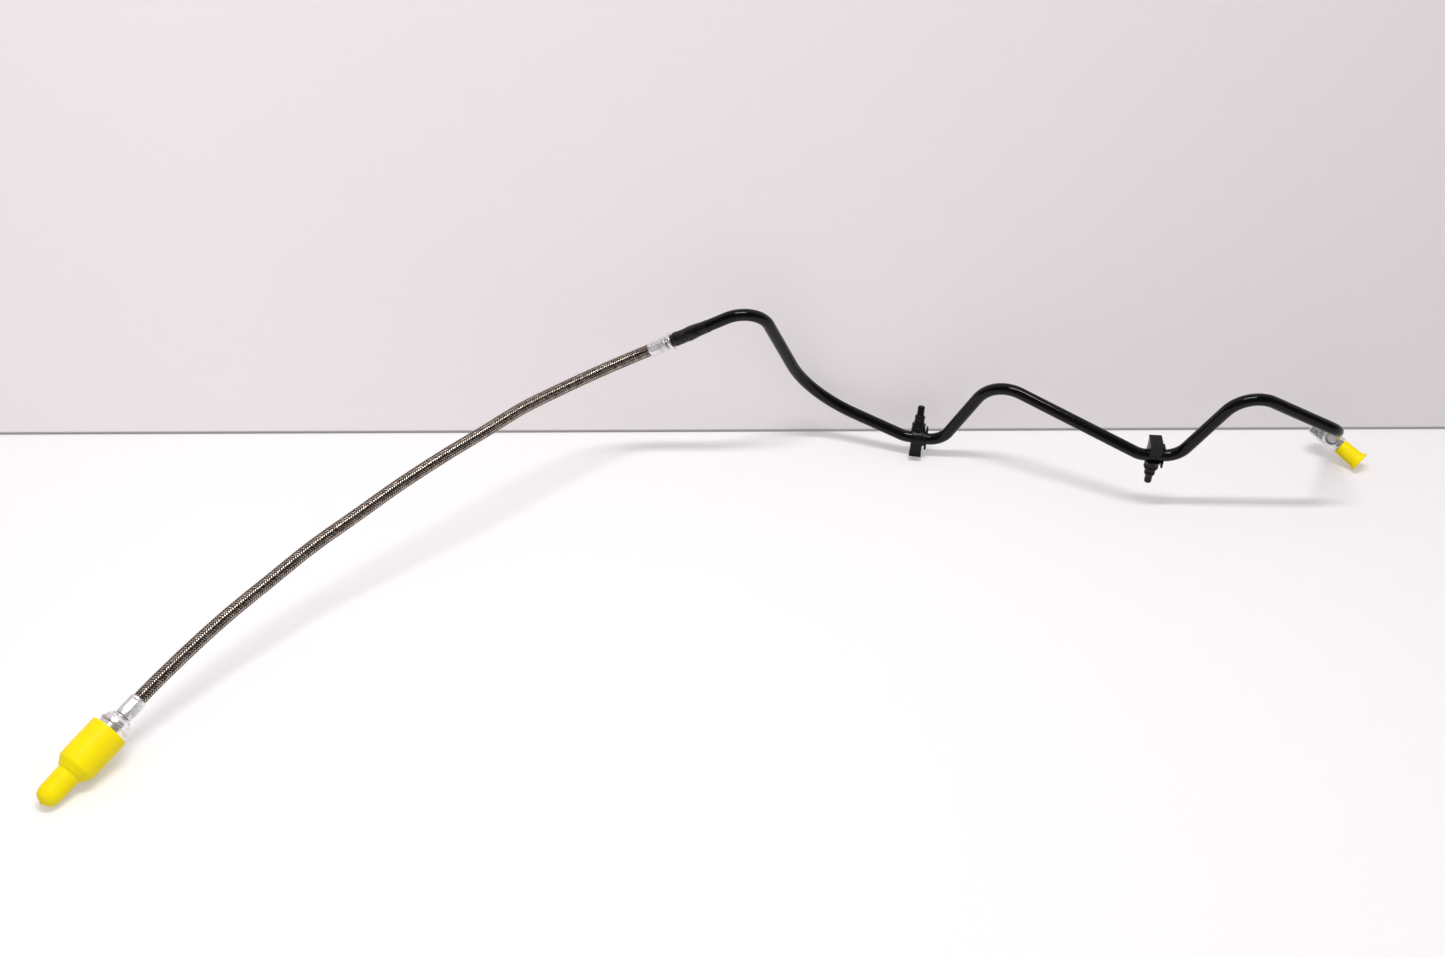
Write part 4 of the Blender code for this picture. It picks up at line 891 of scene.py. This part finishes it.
def braid(name, hand, points, material):
    """The strands that wind one way: hand is 1 or -1."""
    run = np.array(run_lengths(points))
    outs, ups = carried_frames(points)
    begin = HOSE_SEAT - BRAID_IN_FERRULE
    finish = run[-1] - begin
    count = int((finish - begin) / BRAID_LAY * STRAND_POINTS_PER_TURN)
    along = np.linspace(begin, finish, count)
    lateral = STRAND_ACROSS[None, :]
    pitch_angle = math.atan(math.tau * BRAID_RADIUS / BRAID_LAY)
    rows = 2 * STRANDS_EACH_WAY * (along - begin) / BRAID_LAY
    inside = np.minimum(along - HOSE_SEAT, run[-1] - HOSE_SEAT - along)
    drawn_in = np.interp(inside, [-BRAID_TAPER / 2, BRAID_TAPER], [1.0, 0.0])
    base = BRAID_RADIUS - drawn_in * (HOSE_DIAMETER - HOSE_CRIMPED_DIAMETER) / 2 * BRAID_SQUEEZE
    place = along[:, None] - hand * lateral * STRAND_WIDTH * math.sin(pitch_angle)
    spot, out, up = (between(place, run, as_array(values)) for values in (points, outs, ups))
    vertices, faces, across, tones = [], [], [], []
    for strand in range(STRANDS_EACH_WAY):
        wave = hand * np.sin(math.pi / 2 * (hand * rows + 2 * strand) + math.pi / 4)
        turn = hand * math.tau * (along - begin) / BRAID_LAY + math.tau * strand / STRANDS_EACH_WAY
        angle = turn[:, None] + lateral * STRAND_WIDTH * math.cos(pitch_angle) / BRAID_RADIUS
        height = (base + BRAID_RISE * wave)[:, None] + STRAND_CROWN[None, :] * STRAND_THICKNESS
        outward = out * np.cos(angle)[..., None] + up * np.sin(angle)[..., None]
        part_vertices, part_faces = skin(spot + height[..., None] * outward, caps=True)
        shift = len(vertices)
        vertices += part_vertices
        faces += [[i + shift for i in face] for face in part_faces]
        across += np.broadcast_to(lateral, angle.shape).ravel().tolist()
        chance = noise.noise(Vector((strand * 1.7, hand * 3.1, 0.5)))
        # the part that follows wave is painted light: lighter where the strand rises over, darker
        # where it dips under
        tone = TONE_LEVEL + TONE_CHANCE * chance + PAINTED_RISE_LIGHT * wave[:, None]
        tones += np.broadcast_to(tone, angle.shape).ravel().tolist()
    obj = new_object(name, vertices, faces)
    for label, values in (("across", across), ("tone", tones)):
        obj.data.attributes.new(label, "FLOAT", "POINT").data.foreach_set("value", values)
    return dress(obj, material, "line", "braid")


def coupling_body(material):
    probe, groove = PROBE_RADIUS, PROBE_RADIUS - PROBE_GROOVE_DEPTH
    profile = [(SEAT_BORE_RADIUS, PROBE_END, 0.0002), (probe - PROBE_CHAMFER, PROBE_END, 0.0002)]
    profile += tiers(
        (probe, PROBE_END - 2 * PROBE_CHAMFER, PROBE_GROOVE_END, 0.0003, 0.00015),
        (groove, PROBE_GROOVE_END, PROBE_GROOVE_START, 0.0001, 0.0001),
        (probe, PROBE_GROOVE_START, FRONT_FACE, 0.00015, 0.0003),
        (FRONT_RADIUS, FRONT_FACE, FRONT_BARREL_END, 0.0006, 0.0002),
        (FRONT_BARREL_RADIUS, FRONT_BARREL_END, LOCK_GROOVE_END, 0.0006, 0.0002),
        (LOCK_GROOVE_RADIUS, LOCK_GROOVE_END, RING_END, 0.0002, 0.0002),
        (RING_RADIUS, RING_END, RING_START, 0.0003, 0.0003),
        (BARREL_RADIUS, RING_START, BEAD_END, 0.0002, 0.0002),
        (BEAD_RADIUS, BEAD_END, DOME_LENGTH, 0.0005, 0.0005),
    )
    for i in range(DOME_STEPS + 1):
        angle = math.pi / 2 * i / DOME_STEPS
        radius = REAR_RADIUS + (DOME_RADIUS - REAR_RADIUS) * math.cos(angle)
        height = DOME_LENGTH - (DOME_LENGTH - COLLAR_LENGTH) * math.sin(angle)
        profile.append((radius, height, 0))
    profile += tiers(
        (COLLAR_RADIUS, COLLAR_LENGTH, 0.0, 0.0002, 0.0003),
        (REAR_MOUTH_RADIUS, 0.0, REAR_LIP, 0.0003, 0),
        (POCKET_RADIUS, REAR_LIP, POCKET_END, 0, 0),
        (CHAMBER_RADIUS, POCKET_END, CHAMBER_END, 0, 0),
    )
    profile.append((SEAT_BORE_RADIUS, SEAT_CONE_END, 0))
    obj = turned("coupling_shell", profile, coupling_frame())
    return dress(obj, material, "line", "zinc", "coupling_body")


def valve_poppet(material):
    stem = VALVE_STEM_RADIUS
    profile = [(0.0, VALVE_PIN_END, 0), *tiers((stem, VALVE_PIN_END, VALVE_CONE_END, 0.0004, 0))]
    profile.append((VALVE_LIP_RADIUS, VALVE_GROOVE_END, 0.0002))
    profile += tiers(
        (VALVE_GROOVE_RADIUS, VALVE_GROOVE_END, VALVE_GROOVE_START, 0, 0),
        (VALVE_HEAD_RADIUS, VALVE_GROOVE_START, VALVE_HEAD_REAR, 0.0002, 0.0002),
        (stem, VALVE_HEAD_REAR, VALVE_STEM_END, 0, 0.0004),
    )
    profile.append((0.0, VALVE_STEM_END, 0))
    obj = turned("valve_pin", profile, coupling_frame(), closed=False, steps=48)
    return dress(obj, material, "valve", "steel", "valve_poppet")


def probe_seal(material):
    section = PROBE_SEAL_SECTION
    radius = PROBE_RADIUS - PROBE_GROOVE_DEPTH + GAP + section
    middle = (PROBE_GROOVE_START + PROBE_GROOVE_END) / 2
    profile = []
    for i in range(PROBE_SEAL_SIDES):
        angle = -math.tau * i / PROBE_SEAL_SIDES
        spoke = section * math.cos(angle), section * math.sin(angle)
        profile.append((radius + spoke[0], middle + spoke[1], 0))
    obj = turned("probe_ring", profile, coupling_frame(), steps=72)
    return dress(obj, material, "line", "seal_rubber", "probe_seal")


def slave_cap(material):
    """A wide sleeve, a rounded shoulder and a closed nose, with the moulding's nib at its end."""
    wide, nose = CAP_RADIUS, CAP_NOSE_RADIUS
    ceiling, nose_ceiling = CAP_SHOULDER - CAP_SHOULDER_WALL, CAP_END - CAP_END_WALL

    def nib(radius, height, angle):
        return np.where(
            (height > CAP_END + 0.0001) & (radius > 0.0001),
            radius * (1 + 0.18 * np.sin(2 * angle) + 0.12 * np.sin(3 * angle + 1)),
            radius,
        )

    profile = [
        (0.0, CAP_END + 0.0004, 0),
        (0.0010, CAP_END + 0.0005, 0.0002),
        (0.0012, CAP_END, 0.0002),
        (0.0026, CAP_END - 0.0001, 0.0020),
        (nose - 0.0012, CAP_END - 0.0020, 0.0034),
        (nose - 0.0001, CAP_END - 0.0058, 0.0044),
        (nose + 0.0002, CAP_SHOULDER + 0.0006, 0.0010),
        (nose + 0.0016, CAP_SHOULDER - 0.0004, 0.0012),
        (wide - 0.0026, CAP_SHOULDER - 0.0012, 0.0030),
        (wide - 0.0002, CAP_SHOULDER - 0.0046, 0.0030),
        (wide, CAP_SHOULDER - 0.0100, 0.0040),
        (wide, CAP_MOUTH, 0.0005),
        *tiers(
            (CAP_INNER_RADIUS, CAP_MOUTH, ceiling, 0.0004, 0.0022),
            (CAP_NOSE_INNER_RADIUS, ceiling, nose_ceiling, 0.0006, 0.0020),
        ),
        (0.0, nose_ceiling, 0),
    ]
    obj = turned("coupling_cap", profile, coupling_frame(), closed=False, shape=nib)
    return dress(obj, material, "coupling_cover", "yellow_vinyl", "slave_cap")


def master_cap(material):
    """A thin sleeve with a flared rim round its dished end."""
    inner = SPIGOT_RADIUS + GAP
    outer = inner + SPIGOT_CAP_WALL
    rim, end = SPIGOT_CAP_RIM_RADIUS, SPIGOT_CAP_END
    profile = [
        (0.0, SPIGOT_CAP_DISH, 0),
        (rim - 0.0022, SPIGOT_CAP_DISH, 0.0003),
        (rim - 0.0016, end, 0.0003),
        (rim, end, 0.0006),
        (rim, end - 0.0015, 0.0005),
        (rim - 0.0007, end - 0.0017, 0.0006),
        (outer + 0.0004, SPIGOT_CAP_FLARE, 0.0012),
        (outer, SPIGOT_CAP_MOUTH, 0.0003),
        (inner, SPIGOT_CAP_MOUTH, 0.0003),
        (inner, SPIGOT_CAP_FLOOR, 0.0006),
        (0.0, SPIGOT_CAP_FLOOR, 0),
    ]
    obj = turned("spigot_cap", profile, fitting_frame(), closed=False)
    return dress(obj, material, "spigot_cover", "yellow_vinyl", "master_cap")


# Joined shapes


def cylinder(name, radius, low, high, place, steps=64, edge=0.0):
    profile = [(0.0, high, 0), (radius, high, edge), (radius, low, edge), (0.0, low, 0)]
    return placed(name, turned_mesh(name, profile, closed=False, steps=steps), place)


def block(name, low, high, place, edge=0.0, segments=3):
    low, high = Vector(low), Vector(high)
    mesh = bpy.data.meshes.new(name)
    work = bmesh.new()
    stretch = Matrix.Translation((low + high) / 2) @ Matrix.Diagonal((*(high - low), 1.0))
    bmesh.ops.create_cube(work, size=1.0, matrix=stretch)
    if edge:
        bmesh.ops.bevel(
            work, geom=work.edges, offset=edge, segments=segments, profile=0.5, affect="EDGES"
        )
    work.to_mesh(mesh)
    work.free()
    return placed(name, mesh, place)


def joined(name, place, first, added, cut, edge_width):
    """A first shape with others added to it and cut from it, its sharp edges rounded."""
    for shapes, operation in ((added, "UNION"), (cut, "DIFFERENCE")):
        for shape in shapes:
            step = first.modifiers.new(operation.lower(), "BOOLEAN")
            step.object = shape
            step.operation = operation
            step.solver = "EXACT"
    bpy.context.view_layer.update()
    evaluated = first.evaluated_get(bpy.context.evaluated_depsgraph_get())
    mesh = bpy.data.meshes.new_from_object(evaluated)
    mesh.transform(place.inverted() @ first.matrix_world)
    for shape in [first, *added, *cut]:
        bpy.data.objects.remove(shape)
    obj = finish_object(name, mesh, place)
    edge = obj.modifiers.new("edge", "BEVEL")
    edge.width = edge_width
    edge.segments = 2
    edge.limit_method = "ANGLE"
    edge.angle_limit = SHARP_ANGLE
    edge.use_clamp_overlap = True
    edge.harden_normals = True
    return obj


def master_fitting(material):
    """The elbow: a turned spigot with a rear lug, and an inlet boss with a socket for the pipe."""
    place = fitting_frame()
    spigot, groove = SPIGOT_RADIUS, SPIGOT_RADIUS - PIN_GROOVE_DEPTH
    profile = tiers(
        (spigot, SPIGOT_END, PIN_GROOVE_END, 0.0008, 0),
        (groove, PIN_GROOVE_END, PIN_GROOVE_START, 0.0003, 0.0003),
        (spigot, PIN_GROOVE_START, FITTING_SHOULDER, 0, 0.0003),
        (FITTING_RADIUS, FITTING_SHOULDER, FITTING_REAR, 0.0006, 0.0004),
    )
    profile = [(0.0, SPIGOT_END, 0)] + profile + [(0.0, FITTING_REAR, 0)]
    body = placed("spigot_body", turned_mesh("spigot_body", profile, closed=False, steps=80), place)
    inlet = place @ Matrix.Rotation(math.pi / 2, 4, "Y")
    added = [
        block("lug", LUG_LOW, LUG_HIGH, place, 0.0012, 4),
        cylinder("boss", BOSS_RADIUS, 0.0, BOSS_END, inlet, 72, 0.0006),
    ]
    plug = plug_frame()
    socket_floor = BOSS_END - SOCKET_DEPTH
    hole_floor = -PLUG_HEAD_LENGTH - PLUG_SHANK_LENGTH - 2 * GAP
    cut = [
        cylinder("socket", PIPE_RADIUS + GAP, socket_floor, BOSS_END + OVERRUN, inlet, 60),
        cylinder("bore", BORE_RADIUS, BORE_START, SPIGOT_END + OVERRUN, place, 40),
        cylinder("inlet_bore", BORE_RADIUS, 0.0, BOSS_END, inlet, 44),
        cylinder("recess", PLUG_RECESS_RADIUS, -PLUG_HEAD_LENGTH - GAP, OVERRUN, plug, 56),
        cylinder("plug_hole", PLUG_SHANK_RADIUS + GAP, hole_floor, OVERRUN, plug, 40),
    ]
    obj = joined("elbow_fitting", place, body, added, cut, FITTING_EDGE)
    return dress(obj, material, "line", "zinc", "master_fitting")


def fitting_plug(material):
    rim = PLUG_RIM_HEIGHT
    end = -PLUG_HEAD_LENGTH - PLUG_SHANK_LENGTH
    profile = [
        (0.0, -rim, 0),
        (PLUG_HEAD_RADIUS * 0.55, -rim, 0.0002),
        (PLUG_HEAD_RADIUS * 0.65, rim, 0.0001),
        (PLUG_HEAD_RADIUS, rim, 0.0003),
        (PLUG_HEAD_RADIUS, -PLUG_HEAD_LENGTH, 0.0001),
        (PLUG_SHANK_RADIUS, -PLUG_HEAD_LENGTH, 0),
        (PLUG_SHANK_RADIUS, end, 0.0003),
        (0.0, end, 0),
    ]
    obj = turned("pressed_plug", profile, plug_frame(), closed=False, steps=64)
    return dress(obj, material, "line", "steel", "fitting_plug")


def stud_mesh():
    """Two notched tiers and a rounded lead-in pin."""

    def notch(radius, height):
        deepest = (radius - STUD_NOTCH_DEPTH, height, 0.0001)
        return [(radius, height + 0.0004, 0.0002), deepest, (radius, height - 0.0008, 0.0002)]

    pin, upper, lower = STUD_PIN_RADIUS, STUD_UPPER_RADIUS, STUD_LOWER_RADIUS
    profile = [
        (0.0, STUD_END, 0),
        (pin, STUD_END, 0.0016),
        (pin, STUD_PIN_START, 0.0002),
        (upper - 0.0004, STUD_PIN_START, 0.0001),
        (upper, STUD_PIN_START - 0.0008, 0.0002),
        *notch(upper, STUD_UPPER_NOTCH),
        (upper, STUD_UPPER_START, 0.0001),
        (lower, STUD_UPPER_START, 0.0004),
        *notch(lower, STUD_LOWER_NOTCH),
        (lower, STUD_LOWER_START, 0),
        (0.0, STUD_LOWER_START, 0),
    ]
    return turned_mesh("stud", profile, closed=False, steps=56)


def pipe_clip(name, place, material, body, node):
    """A moulded clip: a snap collar, a square base with a foot, a stud and a thin wing."""
    along = place @ Matrix.Rotation(math.pi / 2, 4, "Y")
    half, span = CLIP_HALF_WIDTH, CLIP_HALF_SPAN
    foot_half, foot_span = half + CLIP_FOOT_PROUD, span + CLIP_FOOT_PROUD
    sleeve_end = CLIP_WING_HIGH[0] - 0.0002
    reach, slot = CLIP_CUT_REACH, CLIP_SLOT_HALF_WIDTH
    collar = cylinder("collar", CLIP_COLLAR_RADIUS, -half, half, along, 72, 0.0003)
    foot = (-foot_half, -foot_span, -CLIP_FOOT), (foot_half, foot_span, -CLIP_BASE_DEPTH)
    added = [
        block("base", (-half, -span, -CLIP_FOOT), (half, span, 0.0), place, 0.0006),
        block("foot", *foot, place, 0.0003, 2),
        placed("stud", stud_mesh(), place),
        cylinder("sleeve", CLIP_SLEEVE_RADIUS, 0.0, sleeve_end, along, 64, 0.0002),
        block("wing", CLIP_WING_LOW, CLIP_WING_HIGH, place, 0.00035, 2),
    ]
    cut = [
        cylinder("bore", CLIP_BORE_RADIUS, -reach, reach, along, 60),
        block("slot", (-reach, 0.0, -slot), (reach, CLIP_SLOT_DEPTH, slot), place),
    ]
    obj = joined(name, place, collar, added, cut, CLIP_EDGE)
    return dress(obj, material, body, "nylon", node)


# Stage


def floor_and_board():
    """A white floor, and behind the line a pale board with a dark line at its foot."""
    reach = STAGE_REACH
    corners = [(-reach, -reach, 0), (reach, -reach, 0), (reach, reach, 0), (-reach, reach, 0)]
    floor = new_object("floor", corners, [(0, 1, 2, 3)])
    floor.data.materials.append(stage_finish("floor_white", FLOOR_COLOURS, FLOOR_GLOW))
    board = wall("board", 0.0, -0.01, reach, stage_finish("board_grey", BOARD_COLOURS, BOARD_GLOW))
    line = stage_finish("board_foot_grey", FOOT_LINE_COLOURS, 0.0)
    foot = wall("board_foot", FOOT_LINE_PROUD, -0.001, FOOT_LINE_HEIGHT, line)


def wall(name, proud, low, high, material):
    """An upright sheet across the stage, clear on one side: the board's back, but the strip's front.

    The strip faces back, so from the front it only shades the board, and from behind it is dark.
    """
    left = BOARD_FOOT - STAGE_REACH * BOARD_SLANT - proud
    right = BOARD_FOOT + STAGE_REACH * BOARD_SLANT - proud
    lower = [(-STAGE_REACH, left, low), (STAGE_REACH, right, low)]
    upper = [(STAGE_REACH, right, high), (-STAGE_REACH, left, high)]
    obj = new_object(name, lower + upper, [(0, 1, 2, 3)])
    obj.data.materials.append(see_through_behind(material))
    return obj


def stage_finish(name, colours, glow):
    """Matt, with painted shade darkening it to the right. glow adds white to what is seen or
    mirrored.
    """
    made = Finish(name, Roughness=0.9, Specular_IOR_Level=0.1)
    # painted shade: the colour darkens to the right, where the light falls off
    shade = made.along("X", *STAGE_PAINTED_FALLOFF)
    made.colour(shade, (0.0, colours[0]), (1.0, colours[1]))
    if glow:
        path = made.nodes.new("ShaderNodeLightPath")
        seen = made.math("MAXIMUM", path.outputs["Is Camera Ray"], path.outputs["Is Glossy Ray"])
        lift = made.math("MULTIPLY", seen, glow)
        made.shader.inputs["Emission Color"].default_value = (1.0, 0.98, 0.985, 1.0)
        made.links.new(lift, made.shader.inputs["Emission Strength"])
    return made.material


def see_through_behind(material):
    """Clear from behind, so that the board doesn't hide the part there."""
    nodes, links = material.node_tree.nodes, material.node_tree.links
    side = nodes.new("ShaderNodeNewGeometry").outputs["Backfacing"]
    clear = nodes.new("ShaderNodeBsdfTransparent").outputs["BSDF"]
    mix = nodes.new("ShaderNodeMixShader")
    links.new(side, mix.inputs["Fac"])
    links.new(nodes["Principled BSDF"].outputs["BSDF"], mix.inputs[1])
    links.new(clear, mix.inputs[2])
    links.new(mix.outputs["Shader"], nodes["Material Output"].inputs["Surface"])
    return material


def lights():
    """A long tube lamp overhead, a little to the front, in a surround dimmer in reflections."""
    tube = bpy.data.lights.new("tube_lamp", "AREA")
    tube.shape = "RECTANGLE"
    tube.size = LAMP_LENGTH
    tube.size_y = LAMP_WIDTH
    tube.energy = LAMP_POWER
    placed("tube_lamp", tube, frame_at(LAMP_PLACE, LAMP_PLACE - LAMP_TARGET, Vector((1, 0, 0))))
    world = bpy.data.worlds.new("surround")
    bpy.context.scene.world = world
    world.use_nodes = True
    nodes, links = world.node_tree.nodes, world.node_tree.links
    background = nodes["Background"]
    background.inputs["Color"].default_value = (1.0, 0.99, 1.0, 1.0)
    dimmed = nodes.new("ShaderNodeMapRange")
    dimmed.inputs["To Min"].default_value = SURROUND
    dimmed.inputs["To Max"].default_value = SURROUND_IN_REFLECTIONS
    links.new(nodes.new("ShaderNodeLightPath").outputs["Is Glossy Ray"], dimmed.inputs["Value"])
    links.new(dimmed.outputs["Result"], background.inputs["Strength"])


def camera():
    data = bpy.data.cameras.new("camera")
    data.lens = LENS
    data.sensor_width = SENSOR
    data.clip_start = 0.02
    data.clip_end = 30.0
    obj = bpy.data.objects.new("camera", data)
    obj.location = CAMERA_PLACE
    obj.rotation_euler = (CAMERA_PITCH, 0.0, 0.0)
    bpy.context.scene.collection.objects.link(obj)
    bpy.context.scene.camera = obj


def build():
    bpy.context.scene.view_settings.view_transform = "Standard"
    camera()
    lights()
    floor_and_board()

    zinc = zinc_plate("zinc_plate", 0.18, 0.32, (50, 50, 2200))
    crimped_zinc = zinc_plate("crimped_zinc", 0.36, 0.48, (1100, 1100, 45))
    bright_zinc = zinc_plate("bright_zinc", 0.08, 0.18, (50, 50, 2200))
    steel = machined_steel()
    vinyl = yellow_vinyl()
    nylon = black_nylon()
    rubber = seal_rubber()
    strand = wire_strand_painted_light()

    points = hose_line()
    core = hose_core(points, core_rubber())
    right_hand = braid("braid_right_hand", 1, points, strand)
    left_hand = braid("braid_left_hand", -1, points, strand)

    steel_pipe(gloss_black())
    heat_shrink(shrink_black())
    pipe_insert(zinc)
    joint_end = shifted(joint_frame(), -JOINT_FERRULE_BACK)
    ferrule("joint_ferrule", joint_end, crimped_zinc, "pipe_ferrule")
    hose_end = shifted(coupling_frame(), -FERRULE_LENGTH - COUPLING_FERRULE_GAP)
    end_ferrule = ferrule("hose_ferrule", hose_end, crimped_zinc, "coupling_ferrule")

    body = coupling_body(zinc)
    pin = valve_poppet(steel)
    ring = probe_seal(rubber)
    cap = slave_cap(vinyl)
    for node, material in (
        ("coupling_insert", zinc),
        ("insert_seal", rubber),
        ("spring_seat", steel),
        ("valve_spring", steel),
        ("poppet_seal", rubber),
    ):
        repaint(node, material)

    master_fitting(bright_zinc)
    fitting_plug(steel)
    master_cap(vinyl)
    pipe_clip("low_clip", clip_frame(2, LOWER_CLIP_STUD), nylon, "clip_low", "lower_clip")
    pipe_clip("high_clip", clip_frame(5, UPPER_CLIP_STUD), nylon, "clip_high", "upper_clip")

    on_hose = [right_hand, left_hand, end_ferrule, body, pin, ring, cap]
    on_hose += ["coupling_insert", "insert_seal", "spring_seat", "valve_spring", "poppet_seal"]


build()
